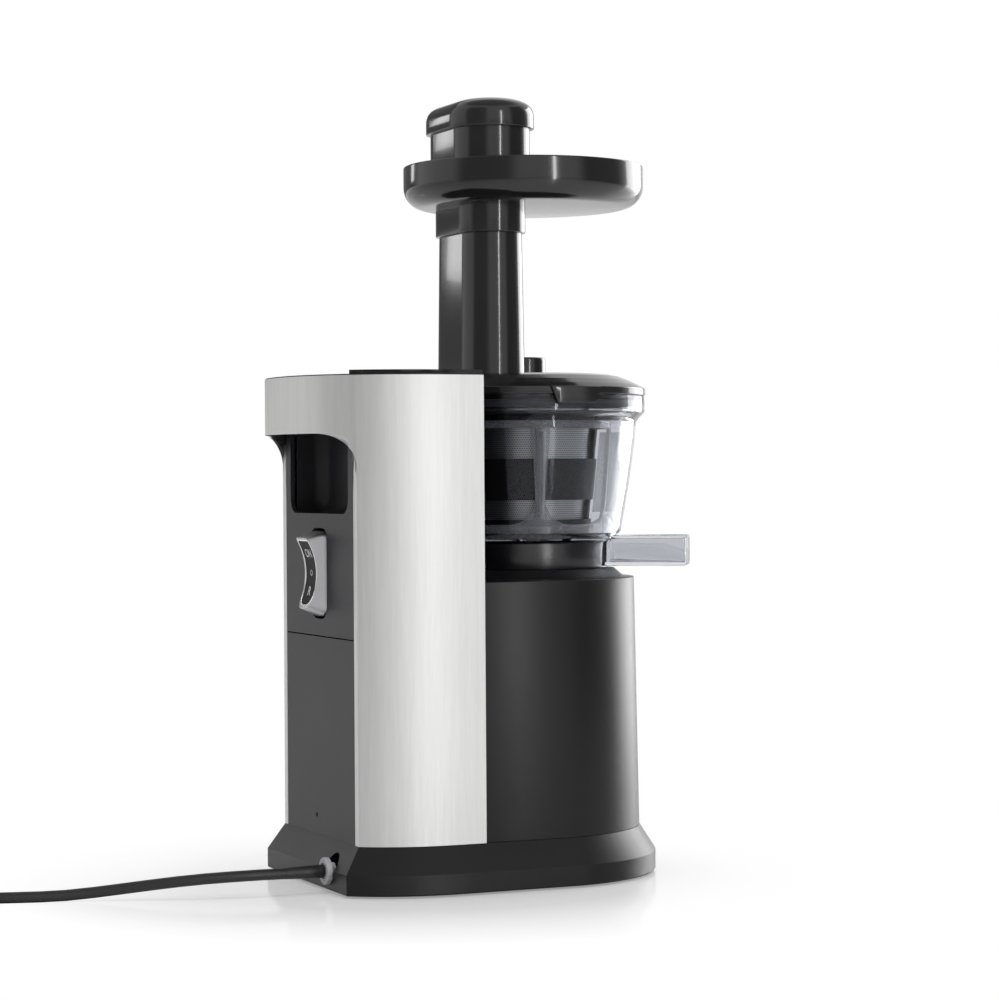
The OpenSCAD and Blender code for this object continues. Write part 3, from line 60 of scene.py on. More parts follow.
class Shade:
    """The output of a shader node. Sums on shades and numbers add Math nodes."""

    def __init__(self, finish, socket):
        self.finish = finish
        self.socket = socket

    def sum(self, operation, *values):
        return self.finish.add("ShaderNodeMath", {"operation": operation}, *values)

    def __add__(self, other):
        return self.sum("ADD", self, other)

    def __radd__(self, other):
        return self.sum("ADD", other, self)

    def __sub__(self, other):
        return self.sum("SUBTRACT", self, other)

    def __rsub__(self, other):
        return self.sum("SUBTRACT", other, self)

    def __mul__(self, other):
        return self.sum("MULTIPLY", self, other)

    def __pow__(self, other):
        return self.sum("POWER", self, other)

    def __lt__(self, other):
        return self.sum("LESS_THAN", self, other)

    def fract(self):
        return self.sum("FRACT", self)

    def size(self):
        return self.sum("ABSOLUTE", self)


class Finish:
    """A material under construction: its node tree and its one Principled shader."""

    def __init__(self, name, **fixed):
        self.material = bpy.data.materials.new(name)
        self.material.use_nodes = True
        self.tree = self.material.node_tree
        self.shader = self.tree.nodes["Principled BSDF"]
        for socket, value in fixed.items():
            self.shader.inputs[socket.replace("_", " ")].default_value = value

    def add(self, kind, settings, *values, output=0, **named):
        """A node with its settings, its first inputs and its named inputs, as a shade of its output."""
        node = self.tree.nodes.new(kind)
        for name, value in settings.items():
            setattr(node, name, value)
        inputs = list(zip(node.inputs, values))
        inputs += [(node.inputs[name.replace("_", " ")], value) for name, value in named.items()]
        for socket, value in inputs:
            self.join(socket, value)
        return Shade(self, node.outputs[output])

    def join(self, socket, value):
        if isinstance(value, Shade):
            self.tree.links.new(value.socket, socket)
        else:
            socket.default_value = value

    def place(self, shift=(0, 0, 0), scale=(1, 1, 1)):
        """Object coordinates in metres, moved and then stretched."""
        spot = self.add("ShaderNodeTexCoord", {}, output=3)
        moved = self.add("ShaderNodeVectorMath", {"operation": "ADD"}, spot, shift)
        return self.add("ShaderNodeVectorMath", {"operation": "MULTIPLY"}, moved, scale)

    def noise(self, place, scale, detail=2.0, roughness=0.5):
        return self.add("ShaderNodeTexNoise", {}, Vector=place, Scale=scale, Detail=detail, Roughness=roughness)

    def mix(self, amount, first, second):
        """A colour between two colours."""
        node = self.tree.nodes.new("ShaderNodeMix")
        node.data_type = "RGBA"
        self.join(node.inputs[0], amount)
        for socket, value in ((node.inputs[6], first), (node.inputs[7], second)):
            self.join(socket, (*value, 1) if isinstance(value, tuple) and len(value) == 3 else value)
        return Shade(self, node.outputs[2])

    def set(self, **sockets):
        for socket, value in sockets.items():
            self.join(self.shader.inputs[socket.replace("_", " ")], value)

    def bump(self, height, distance, strength=1.0):
        """Raises the surface by up to `distance` metres where `height` is 1."""
        self.set(Normal=self.add("ShaderNodeBump", {}, Strength=strength, Distance=distance, Height=height))

    def own_look(self):
        """What the Principled shader gives."""
        return Shade(self, self.shader.outputs[0])

    def show(self, look):
        """Puts another look on the surface in place of the Principled shader's own."""
        self.join(self.tree.nodes["Material Output"].inputs["Surface"], look)


def choose(*objects):
    """Selects these objects alone, the first of them active."""
    bpy.ops.object.select_all(action="DESELECT")
    for each in objects:
        each.select_set(True)
    bpy.context.view_layer.objects.active = objects[0]


# Pale glossy table with a faint mirror image of the plinth, and white behind it
bpy.ops.object.select_all(action="DESELECT")
bpy.ops.mesh.primitive_plane_add(size=14)
table = bpy.context.active_object
table.name = "table_top"
table_finish = Finish("pale_table", Base_Color=(0.86, 0.86, 0.87, 1), IOR=1.45)
cloud = table_finish.noise(table_finish.place(), 9.0)
table_finish.set(Roughness=0.07 + cloud * 0.05)
glow = table_finish.add("ShaderNodeEmission", {}, (1, 1, 1, 1), 1.0)
seen = table_finish.add("ShaderNodeLightPath", {}, output=0)
spot = table_finish.place(shift=(0, -0.03, 0))
reach = table_finish.add("ShaderNodeVectorMath", {"operation": "LENGTH"}, spot, output=1)
far = table_finish.add("ShaderNodeMapRange", {}, reach, 0.13, 0.24, 0.0, 1.0)
# To the camera the table is part light, and all light further out, so that it melts into the white
lit = seen * (0.3 + far * 0.7)
table_finish.show(table_finish.add("ShaderNodeMixShader", {}, lit, table_finish.own_look(), glow))
table.data.materials.append(table_finish.material)

world = bpy.data.worlds.new("studio")
world.use_nodes = True
bpy.context.scene.world = world
room = world.node_tree
paths = room.nodes.new("ShaderNodeLightPath")
white = room.nodes["Background"]
white.inputs["Color"].default_value = (1, 1, 1, 1)
level = paths.outputs["Is Camera Ray"]
for seen_as in ("Is Glossy Ray", "Is Transmission Ray"):
    most = room.nodes.new("ShaderNodeMath")
    most.operation = "MAXIMUM"
    room.links.new(level, most.inputs[0])
    room.links.new(paths.outputs[seen_as], most.inputs[1])
    level = most.outputs[0]
strength = room.nodes.new("ShaderNodeMapRange")
strength.inputs["To Min"].default_value = 0.5
strength.inputs["To Max"].default_value = 1.0
room.links.new(level, strength.inputs["Value"])
room.links.new(strength.outputs[0], white.inputs["Strength"])

for name, spot, target, width, height, watts in (
    ("left_strip", (-2.0, -0.22, 0.55), (0, 0, 0.25), 0.09, 1.3, 7.5),
    ("left_light", (-1.5, -0.70, 1.5), (0, 0, 0.2), 0.8, 0.8, 9),
    ("front_light", (0.62, -1.85, 0.5), (0, 0, 0.2), 1.2, 1.6, 34),
    ("right_light", (2.1, 0.935, 0.75), (0, 0, 0.35), 0.25, 0.3, 1.0),
    ("top_light", (0.1, 0.2, 2.2), (0, 0, 0.3), 1.4, 1.4, 22),
):
    lamp = bpy.data.lights.new(name, "AREA")
    lamp.shape = "RECTANGLE"
    lamp.size = width
    lamp.size_y = height
    lamp.energy = watts
    stand = bpy.data.objects.new(name, lamp)
    bpy.context.scene.collection.objects.link(stand)
    stand.location = spot
    stand.rotation_euler = (Vector(target) - Vector(spot)).to_track_quat("-Z", "Y").to_euler()
    stand.visible_glossy = name not in ("left_light", "top_light")

# Dark cards round the table, which only shiny surfaces see: they give metal and gloss their bands
for name, bearing, reach, height, size, level in (
    ("card_front", 238, 2.3, 0.9, (2.9, 3.2), 0.2), ("card_camera", 120, 2.3, 0.9, (3.3, 3.2), 0.32),
    ("card_right", 8, 2.3, 1.3, (3.0, 1.9), 0.2), ("card_ceiling", 180, 0, 2.6, (4.5, 4.5), 0.35),
):
    card_finish = Finish(name)
    spot = card_finish.place()
    across = card_finish.add("ShaderNodeSeparateXYZ", {}, spot, output=0).size()
    if reach == 0:
        across = card_finish.add("ShaderNodeVectorMath", {"operation": "LENGTH"}, spot, output=1)
    edge = card_finish.add("ShaderNodeMapRange", {"interpolation_type": "SMOOTHSTEP"}, across, 0.24, 0.5, level, 1.0)
    card_finish.show(card_finish.add("ShaderNodeEmission", {}, (1, 1, 1, 1), edge))
    bpy.ops.object.select_all(action="DESELECT")
    bpy.ops.mesh.primitive_plane_add(size=1)
    card = bpy.context.active_object
    card.name = name
    card.scale = (*size, 1)
    turn = math.radians(bearing)
    card.rotation_euler = (math.radians(90 if reach else 0), 0, turn - math.pi / 2)
    card.location = (reach * math.cos(turn), reach * math.sin(turn), height)
    card.data.materials.append(card_finish.material)
    card.visible_camera = False
    card.visible_diffuse = False
    card.visible_transmission = False
    card.visible_shadow = False

# ------------------------------------------------------------------ mains cord
# A round black PVC lead, 6 mm thick and about 1.5 m long. It leaves a grey gland low in the rear
# of the plinth, sinks to the table and ends in a neat two-layer coil with its plug on top.

MM = 0.001
CORD_R = 0.003
CORD_X, CORD_Z = -36.5, 11.5
SLEEVE_Y = 104.025
lead_route = [
    (CORD_X, 126.025, CORD_Z), (-36, 140, 11.6), (-34, 154, 11.3), (-30.5, 168, 10.6), (-26, 182, 9.4),
    (-21, 196, 7.8), (-15.5, 210, 6), (-11, 224, 4.4), (-7.5, 238, 3.3), (-4.5, 251, 3), (-1.2, 264, 3),
    (2.6, 277, 3), (6.9, 290, 3), (12, 303, 3),
]
COIL_START = -23
COIL_TURNS = 6.064
COIL_PITCH = 6.6
coil_out = 35 + COIL_PITCH * COIL_TURNS / 4
coil_x = 16.24 - coil_out * math.cos(math.radians(COIL_START))
coil_y = 313 - coil_out * math.sin(math.radians(COIL_START))
plug_x, plug_y, plug_z = coil_x + coil_out, coil_y + 14, 3 + COIL_PITCH


def coil_spot(turn):
    """The coil's line after so many turns: inwards on the table, then outwards on top."""
    r = coil_out - COIL_PITCH * min(turn, COIL_TURNS - turn)
    a = math.radians(COIL_START + 360 * turn)
    rise = max(0, min(1, (turn - COIL_TURNS / 2 + 0.25) / 0.5))
    return (coil_x + r * math.cos(a), coil_y + r * math.sin(a), 3 + COIL_PITCH * rise * rise * (3 - 2 * rise))


cord_route = lead_route + [coil_spot(i / 24) for i in range(int(COIL_TURNS * 24) + 1)]
cord_route += [coil_spot(COIL_TURNS), (plug_x, plug_y, plug_z)]
cord_route = [Vector(p) * MM for p in cord_route]

pvc = Finish("cord_pvc", Base_Color=(0.012, 0.012, 0.013, 1), Specular_IOR_Level=0.45)
scuffs = pvc.noise(pvc.place(), 160.0, 4.0)
pvc.set(Roughness=0.34 + scuffs * 0.16, Base_Color=pvc.mix(scuffs, (0.010, 0.010, 0.011), (0.017, 0.017, 0.018)))
pvc.bump(pvc.noise(pvc.place(), 900.0), 0.00006)

line = bpy.data.curves.new("mains_cord", "CURVE")
line.dimensions = "3D"
line.resolution_u = 4
line.bevel_depth = CORD_R
line.bevel_resolution = 3
line.use_fill_caps = True
spline = line.splines.new("POLY")
spline.points.add(len(cord_route) - 1)
for point, spot in zip(spline.points, cord_route):
    point.co = (*spot, 1)
spline.use_smooth = True
mains_cord = bpy.data.objects.new("mains_cord", line)
bpy.context.scene.collection.objects.link(mains_cord)
line.materials.append(pvc.material)
cord_length = sum((b - a).length for a, b in zip(cord_route, cord_route[1:]))


def dress(piece, finish, body, slot, *nodes):
    """Gives a finished piece its material and its body, and hides the nodes that it stands for. Its slot is not
    used.
    """
    piece.data.materials.clear()
    piece.data.materials.append(finish.material)
    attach(piece, body)
    if nodes:
        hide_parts(*nodes)
    return piece


dress(mains_cord, pvc, "housing", "black_rubber", "cord_lead", "cord_coil")


def modify(piece, kind, **settings):
    """Adds a modifier and applies it."""
    choose(piece)
    modifier = piece.modifiers.new(kind.lower(), kind)
    for name, value in settings.items():
        setattr(modifier, name, value)
    bpy.ops.object.modifier_apply(modifier=modifier.name)
    return piece


def soften(piece, width, steps=2, angle=30):
    """Rounds the edges that are sharper than `angle`, `width` millimetres wide."""
    return modify(piece, "BEVEL", width=width * MM, segments=steps, limit_method="ANGLE",
                  angle_limit=math.radians(angle), harden_normals=False)


def smooth(piece, angle=35, flat=False):
    """Smooth shading over edges below `angle`. With `flat`, the large faces keep their flat look."""
    choose(piece)
    bpy.ops.object.shade_smooth_by_angle(angle=math.radians(angle))
    return modify(piece, "WEIGHTED_NORMAL", weight=80, keep_sharp=True) if flat else piece


def outline_face(name, points, fill="NGON"):
    """A flat face: a filled circle whose corners are put on the outline's points, in millimetres."""
    bpy.ops.object.select_all(action="DESELECT")
    bpy.ops.mesh.primitive_circle_add(vertices=len(points), radius=1, fill_type=fill)
    piece = bpy.context.active_object
    piece.name = name
    piece.data.name = name
    for vertex, spot in zip(piece.data.vertices, points):
        vertex.co = Vector(spot) * MM
    return piece


def lofted(name, rings):
    """A solid through rings of equally many points: the first is a face, extruded ring by ring."""
    piece = outline_face(name, rings[0])
    choose(piece)
    bpy.ops.object.mode_set(mode="EDIT")
    bpy.ops.mesh.select_all(action="SELECT")
    key = lambda spot: tuple(round(c * 1e7) for c in spot)
    for before, after in zip(rings, rings[1:]):
        bpy.ops.mesh.extrude_region_move()
        goes = {key(Vector(a) * MM): Vector(b) * MM for a, b in zip(before, after)}
        mesh = bmesh.from_edit_mesh(piece.data)
        for vertex in mesh.verts:
            if vertex.select:
                vertex.co = goes[key(vertex.co)]
    bmesh.update_edit_mesh(piece.data)
    bpy.ops.mesh.select_all(action="SELECT")
    bpy.ops.mesh.normals_make_consistent(inside=False)
    bpy.ops.object.mode_set(mode="OBJECT")
    return piece


def prism(name, outline, z0, z1):
    """An upright block of that outline."""
    return lofted(name, [[(x, y, z) for x, y in outline] for z in (z0, z1)])


def block(name, x0, x1, y0, y1, z0, z1):
    return prism(name, [(x0, y0), (x1, y0), (x1, y1), (x0, y1)], z0, z1)


def combine(piece, tool, operation="DIFFERENCE"):
    """Cuts the tool away from the piece, or adds it, and throws the tool away."""
    modify(piece, "BOOLEAN", operation=operation, object=tool, solver="EXACT")
    bpy.data.objects.remove(tool)
    return piece


def moved(piece, turn=0, axis="Z", shift=(0, 0, 0)):
    """Turns the mesh about an axis by degrees and then moves it by millimetres."""
    piece.data.transform(Matrix.Translation(Vector(shift) * MM) @ Matrix.Rotation(math.radians(turn), 4, axis))
    return piece


def spun(name, profile, centre=(0, 0), steps=96):
    """A turned piece: its (radius, height) outline is spun round an upright axis."""
    piece = outline_face(name, [(centre[0] + r, centre[1], z) for r, z in profile], "NOTHING")
    bpy.ops.object.mode_set(mode="EDIT")
    bpy.ops.mesh.select_all(action="SELECT")
    bpy.ops.mesh.spin(steps=steps, angle=2 * math.pi, center=Vector((*centre, 0)) * MM, axis=(0, 0, 1))
    bpy.ops.mesh.select_all(action="SELECT")
    bpy.ops.mesh.remove_doubles(threshold=1e-6)
    bpy.ops.mesh.delete_loose()
    bpy.ops.mesh.select_all(action="SELECT")
    bpy.ops.mesh.normals_make_consistent(inside=False)
    bpy.ops.object.mode_set(mode="OBJECT")
    return piece


def rounded(corners, steps=5):
    """A closed outline of (x, y, radius) corners, with an arc at each radius."""
    points = []
    for i, (x, y, r) in enumerate(corners):
        corner = Vector((x, y))
        before = Vector(corners[i - 1][:2]) - corner
        after = Vector(corners[(i + 1) % len(corners)][:2]) - corner
        if r == 0:
            points.append((x, y))
            continue
        reach = min(r / math.tan(before.angle(after) / 2), 0.48 * before.length, 0.48 * after.length)
        start, end = corner + before.normalized() * reach, corner + after.normalized() * reach
        for k in range(steps + 1):
            t = k / steps
            points.append(tuple(start * (1 - t) ** 2 + corner * 2 * t * (1 - t) + end * t * t))
    return points


# Tie: a flat strap round the coil's turns, with its ends twisted together on the outside
tie_low, tie_high = coil_out - COIL_PITCH * COIL_TURNS / 2 - 4.2, coil_out + 4.2
tie_outline = rounded([(tie_low, 0, 3), (tie_high, 0, 3), (tie_high, 14.2, 3), (tie_low, 14.2, 3)])
strap = prism("coil_strap", tie_outline, -4, 4)
hole = prism("strap_hole", rounded([(tie_low + 0.9, 0.15, 2.4), (tie_high - 0.9, 0.15, 2.4),
                                    (tie_high - 0.9, 13.3, 2.4), (tie_low + 0.9, 13.3, 2.4)]), -5, 5)
combine(strap, hole)
moved(strap, 90, "X")
moved(strap, 150, "Z", (coil_x, coil_y, 0))
smooth(soften(strap, 0.25), 40)
tie_finish = Finish("tie_rubber", Base_Color=(0.02, 0.02, 0.02, 1))
grain = tie_finish.noise(tie_finish.place(), 700.0)
tie_finish.set(Roughness=0.55 + grain * 0.2)
tie_finish.bump(grain, 0.0001)
dress(strap, tie_finish, "housing", "black_rubber", "coil_tie")

# Plug: a moulded block with finger grips and a ribbed neck round the cord
plug = block("plug_shell", plug_x - 10, plug_x + 10, plug_y + 20, plug_y + 54, 0, 19.2)
for side in (-1, 1):
    for rib in range(4):
        y = plug_y + 28.5 + rib * 4
        combine(plug, block("grip_groove", plug_x + side * 10 - 0.9, plug_x + side * 10 + 0.9, y, y + 2, 2.5, 16.7))
soften(plug, 1.2, 3, 50)


def cord_sleeve(name, x, y, z, sizes):
    """A round sleeve along Y, with a (distance, radius) pair for each of its rings."""
    turns = [math.radians(15 * i) for i in range(24)]
    rings = [[(x + r * math.cos(a), y + along, z + r * math.sin(a)) for a in turns] for along, r in sizes]
    return lofted(name, rings)


neck = cord_sleeve("plug_neck", plug_x, plug_y, plug_z, (
    (0, 3.3), (0.4, 3.6), (3, 3.9), (3.4, 3.5), (4.6, 3.6), (5, 4.3), (8, 4.6), (8.4, 4.1), (9.6, 4.3),
    (10, 5.0), (13, 5.4), (13.4, 4.9), (14.6, 5.1), (15, 5.8), (20.5, 6.4)))
combine(plug, neck, "UNION")
smooth(plug, 32)
dress(plug, pvc, "housing", "black_rubber", "plug_body")

# Strain relief: a plain rubber sleeve, a little thicker than the cord and tapered
sleeve = cord_sleeve("cord_sleeve", CORD_X, SLEEVE_Y, CORD_Z, (
    (0, 3.5), (0.3, 3.7), (9, 3.55), (20, 3.1), (21.6, 3.05), (22, 2.9)))
dress(smooth(sleeve, 40), pvc, "housing", "black_rubber", "strain_relief")

# Gland: a thick grey nylon disc with a bevelled edge and a driver slot
gland = spun("gland_disc", rounded([
    (0, 97.9, 0), (4.5, 97.9, 0), (4.5, 100.9, 0), (7.3, 100.9, 0.3), (7.3, 104.0, 0.8), (4.4, 104.0, 0.3),
    (4.1, 102.9, 0.2), (0, 102.9, 0)]), steps=48)
moved(gland, -90, "X", (CORD_X, 0, CORD_Z))
smooth(gland, 40)
nylon = Finish("grey_nylon", Base_Color=(0.42, 0.42, 0.44, 1))
speck = nylon.noise(nylon.place(), 800.0, 3.0)
nylon.set(Roughness=0.38 + speck * 0.15, Base_Color=nylon.mix(speck, (0.36, 0.36, 0.38), (0.46, 0.46, 0.48)))
nylon.bump(speck, 0.00008)
dress(gland, nylon, "housing", "grey_plastic", "cord_gland")

pin_metal = Finish("pin_brass", Base_Color=(0.62, 0.5, 0.3, 1), Metallic=1.0)
rub = pin_metal.noise(pin_metal.place(scale=(1, 0.1, 1)), 1500.0, 3.0)
pin_metal.set(Roughness=0.18 + rub * 0.2)


def finish_node(node, finish):
    """A CAD node that keeps its own shape and gets a better material."""
    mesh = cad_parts[node].data
    mesh.materials.clear()
    mesh.materials.append(finish.material)


finish_node("plug_pins", pin_metal)

# ------------------------------------------------------------------ plinth
# The base is moulded black plastic with a fine spark texture: an upright wall, and above it a
# chamfer that runs in to the housing. It stands on four rubber feet.


def textured_plastic(name, color, rough, grain=1400.0, depth=0.00004):
    """Moulded plastic: a fine spark texture, and a faint unevenness of colour and shine."""
    finish = Finish(name, Specular_IOR_Level=0.3)
    place = finish.place()
    spark = finish.noise(place, grain, 3.0, 0.6)
    cloud = finish.noise(place, 14.0, 3.0)
    darker = tuple(c * 0.86 for c in color)
    finish.set(Base_Color=finish.mix(cloud, darker, color), Roughness=(rough - 0.05) + cloud * 0.07 + spark * 0.05)
    finish.bump(spark, depth)
    return finish


def skin_of(node, name, edge=0.4, steps=2, angle=30, bevel_angle=32):
    """A copy of a CAD node's mesh, merged into clean faces, with its edges rounded."""
    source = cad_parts[node]
    mesh = source.data.copy()
    piece = bpy.data.objects.new(name, mesh)
    bpy.context.scene.collection.objects.link(piece)
    choose(piece)
    bpy.ops.object.mode_set(mode="EDIT")
    bpy.ops.mesh.select_all(action="SELECT")
    bpy.ops.mesh.remove_doubles(threshold=2e-6)
    bpy.ops.mesh.dissolve_limited(angle_limit=math.radians(0.6))
    bpy.ops.object.mode_set(mode="OBJECT")
    if edge:
        soften(piece, edge, steps, bevel_angle)
    return smooth(piece, angle)


satin_black = textured_plastic("satin_black", (0.0055, 0.005, 0.006), 0.38)
plinth = smooth(skin_of("base_plinth", "plinth_shell", 0.7, 3, 30, 25), 30, True)
dress(plinth, satin_black, "housing", "black_plastic", "base_plinth")

foot_rubber = textured_plastic("foot_rubber", (0.03, 0.03, 0.03), 0.75, 600.0, 0.0001)
finish_node("rubber_feet", foot_rubber)
dark_plastic = textured_plastic("dark_plastic", (0.022, 0.022, 0.024), 0.5, 900.0, 0.00006)
finish_node("base_plate", dark_plastic)


def metal(name, color, rough, stretch=(1, 1, 1), grain=900.0, depth=0.00001):
    """Bare metal, with fine marks that run along its least stretched direction."""
    finish = Finish(name, Metallic=1.0)
    marks = finish.noise(finish.place(scale=stretch), grain, 4.0, 0.6)
    darker = tuple(c * 0.9 for c in color)
    finish.set(Base_Color=finish.mix(marks, darker, color), Roughness=(rough - 0.06) + marks * 0.14)
    finish.bump(marks, depth)
    return finish


screw_steel = metal("screw_steel", (0.6, 0.6, 0.62), 0.3)
finish_node("base_screws", screw_steel)

# ------------------------------------------------------------------ motor housing
# The front of the housing is one satin black moulding, straight behind and half round in front.
# Its deck carries the cone and the low spigot that the bowl stands on.

housing_black = textured_plastic("housing_black", (0.0055, 0.005, 0.006), 0.34)
shell = skin_of("front_housing", "front_shell", 1.4, 3, 30, 25)
dress(shell, housing_black, "housing", "black_plastic", "front_housing")
liner = skin_of("tower_liner", "tower_face", 0.5, 2)
dress(liner, satin_black, "housing", "black_plastic", "tower_liner")

# ------------------------------------------------------------------ steel wrap
# One sheet of brushed stainless steel goes round the sides and the rounded rear of the tower. Its
# top is the handle band, and its rear edges are folded flat beside the panels.

brushed = Finish("brushed_steel", Metallic=1.0, Anisotropic=0.35)
place = brushed.place(scale=(1, 1, 0.018))
hair = brushed.noise(place, 2600.0, 3.0, 0.65)
streak = brushed.noise(brushed.place(scale=(1, 1, 0.05)), 320.0, 3.0, 0.6)
patch = brushed.noise(brushed.place(scale=(1, 1, 0.35)), 26.0, 2.0)
tone = hair * 0.5 + streak * 0.5
brushed.set(Base_Color=brushed.mix(tone, (0.50, 0.50, 0.495), (0.74, 0.74, 0.73)),
            Roughness=0.39 + tone * 0.14 + patch * 0.05)
brushed.bump(tone, 0.00003, 0.8)


def rear_block(name, outline, y0, y1):
    """A block that lies along Y, with its outline given as (x, z)."""
    return lofted(name, [[(x, y, z) for x, z in outline] for y in (y0, y1)])


PANEL_Y = 91.825
OPENING_HALF, OPENING_TOP, OPENING_R = 59.13, 247, 20
FOLD_NEAR, FOLD_FAR, FOLD_THICK = 53.6, 58.6, 1.2
wrap = skin_of("steel_wrap", "steel_sheet", 0)
corner = rounded([(-OPENING_HALF, 180, 0), (OPENING_HALF, 180, 0), (OPENING_HALF, OPENING_TOP, OPENING_R),
                  (-OPENING_HALF, OPENING_TOP, OPENING_R)], 12)
combine(wrap, rear_block("corner_cut", corner, 91.83, 130))
for low_x, high_x in ((-FOLD_FAR, -FOLD_NEAR), (FOLD_NEAR, FOLD_FAR)):
    combine(wrap, block("folded_edge", low_x, high_x, PANEL_Y - FOLD_THICK, PANEL_Y, 26.4, 242), "UNION")
choose(wrap)
bpy.ops.object.mode_set(mode="EDIT")
# Level cuts round the opening keep the tall faces beside its corners from shading in streaks
for z in (212, 222, 226, 236, 246.5, 250, 258):
    bpy.ops.mesh.select_all(action="SELECT")
    bpy.ops.mesh.bisect(plane_co=(0, 0, z * MM), plane_no=(0, 0, 1))
bpy.ops.object.mode_set(mode="OBJECT")
smooth(soften(wrap, 0.45, 2, 40), 40)
dress(wrap, brushed, "housing", "brushed_steel", "steel_wrap")
lining = skin_of("handle_lining", "handle_core", 0.3, 2)
dress(lining, satin_black, "housing", "black_plastic", "handle_lining")

# ------------------------------------------------------------------ rear panels and top cover
# Two flat dark grey plastic panels close the rear, parted by a fine line. The upper one has the
# rounded finger recess under the handle and the opening of the switch. A black cover lies on top.

panel_grey = textured_plastic("panel_grey", (0.024, 0.023, 0.027), 0.46)
PANEL_HALF, PANEL_THICK, SPLIT_Z, SPLIT_GAP = 53.3, 2.5, 136, 0.3
RECESS_HALF, RECESS_DEEP = 46, 22
back_half, back_y = RECESS_HALF + PANEL_THICK, PANEL_Y - (RECESS_DEEP + PANEL_THICK)
upper = block("panel_with_recess", -PANEL_HALF, PANEL_HALF, PANEL_Y - PANEL_THICK, PANEL_Y, SPLIT_Z + SPLIT_GAP, 265)
recess_back = soften(block("recess_back", -back_half, back_half, back_y, PANEL_Y - 1, 201.1, 264.9), 9.0, 6)
combine(upper, recess_back, "UNION")
recess_room = block("recess_room", -RECESS_HALF, RECESS_HALF, PANEL_Y - RECESS_DEEP, PANEL_Y + 30, 203.6, 290)
combine(upper, soften(recess_room, 8.5, 8))
socket_outline = rounded([(-12.4, 145.5, 9.5), (12.4, 145.5, 9.5), (12.4, 195.5, 7), (-12.4, 195.5, 7)], 8)
combine(upper, rear_block("socket_cut", socket_outline, 80, 100))
lower = block("panel_low", -PANEL_HALF, PANEL_HALF, PANEL_Y - PANEL_THICK, PANEL_Y, 26.4, SPLIT_Z - SPLIT_GAP)
SCREW_X, SCREW_Z, BORE_DEEP = 6, 36.9, 1.5
screw_bore = spun("screw_bore", [(0, 0), (1.2, 0), (1.2, 3), (0, 3)], steps=32)
combine(lower, moved(screw_bore, -90, "X", (SCREW_X, PANEL_Y - BORE_DEEP, SCREW_Z)))
for piece, node in ((upper, "rear_panel_upper"), (lower, "rear_panel_lower")):
    dress(smooth(soften(piece, 0.35, 2), 35, True), panel_grey, "housing", "panel_grey", node)

# The tower's cover is a thin plate with a slab on it, whose rear edge is a round bay
SLAB_LOW, SLAB_HIGH, SLAB_SCALE, BAY_R, BAY_Y = 278.2, 280.8, 0.985, 75, 144
cover = combine(skin_of("top_cover", "tower_cover", 0), block("cover_trim", -80, 80, 20, 130, 278.6, 290))
slab_room = block("slab_room", -80, 80, 20, 130, SLAB_LOW, 279.4)
slab = combine(skin_of("top_cover", "cover_slab", 0), slab_room, "INTERSECT")
combine(slab, spun("slab_bay", [(0, 270), (BAY_R, 270), (BAY_R, 290), (0, 290)], (0, BAY_Y)))
for vertex in slab.data.vertices:
    vertex.co.x *= SLAB_SCALE
    vertex.co.z = (SLAB_HIGH if vertex.co.z > 278.8 * MM else SLAB_LOW) * MM
smooth(soften(combine(cover, slab, "UNION"), 0.4), 30, True)
cover_gloss = textured_plastic("cover_gloss", (0.009, 0.009, 0.010), 0.3, 900.0, 0.00001)
dress(cover, cover_gloss, "housing", "gloss_black", "top_cover")

# ------------------------------------------------------------------ rocker switch
# A silver three-position rocker with a hollow face, in a black socket. Its dark inlay has a bright
# rim and carries the marks for on, stop and reverse as thin raised letters.

ROCKER_Z = 170.5
ROCKER_FACE_Y = 101.8
DIP = 5.5
DIP_HALF = 19
DIP_R = (DIP_HALF ** 2 + DIP ** 2) / (2 * DIP)
silver = metal("silver_paint", (0.44, 0.44, 0.45), 0.34, (1, 1, 1), 1800.0, 0.00001)


def dip_y(z):
    """How far to the rear the rocker's hollow face lies at a height."""
    return ROCKER_FACE_Y + DIP_R - DIP - math.sqrt(DIP_R ** 2 - (z - ROCKER_Z) ** 2)


def rocker_ring(half, low, high, low_r, high_r, y):
    """Outline of the button, round below and squarer above, at one depth."""
    return [(x, y, ROCKER_Z + z) for x, z in rounded(
        [(-half, low, low_r), (half, low, low_r), (half, high, high_r), (-half, high, high_r)], 10)]


def rocker_block(name, outline, y0, y1):
    """A block with such an outline all the way from one depth to another."""
    return lofted(name, [rocker_ring(*outline, y) for y in (y0, y1)])


def hollow(extra):
    """A roller as wide as the button, which leaves the hollow of its face."""
    roller = spun("face_roller", [(0, -20), (DIP_R + extra, -20), (DIP_R + extra, 20), (0, 20)], steps=256)
    return moved(roller, 90, "Y", (0, ROCKER_FACE_Y + DIP_R - DIP, ROCKER_Z))


rocker = lofted("rocker_button", [
    rocker_ring(11.8, -23.4, 23.4, 8.5, 6, 84), rocker_ring(11.8, -23.4, 23.4, 8.5, 6, 92.2),
    rocker_ring(11.2, -22.6, 22.8, 8.5, 5, 93.6), rocker_ring(9.0, -18.6, 19.4, 8, 3, 103.4)])
combine(rocker, hollow(0))
soften(rocker, 0.7, 3, 40)
GROOVE, RIM, INLAY = (7.9, -17.0, 18.0, 6.6, 1.6), (8.7, -17.9, 18.9, 7.4, 2.2), (7.85, -16.95, 17.95, 6.6, 1.6)
combine(rocker, combine(rocker_block("face_groove", GROOVE, 92, 104), hollow(0.5), "INTERSECT"))
dress(smooth(rocker, 35), silver, "rocker", "silver_plastic", "rocker")
silver_edge = metal("silver_edge", (0.85, 0.85, 0.86), 0.24, (1, 1, 1), 1800.0, 0.00001)
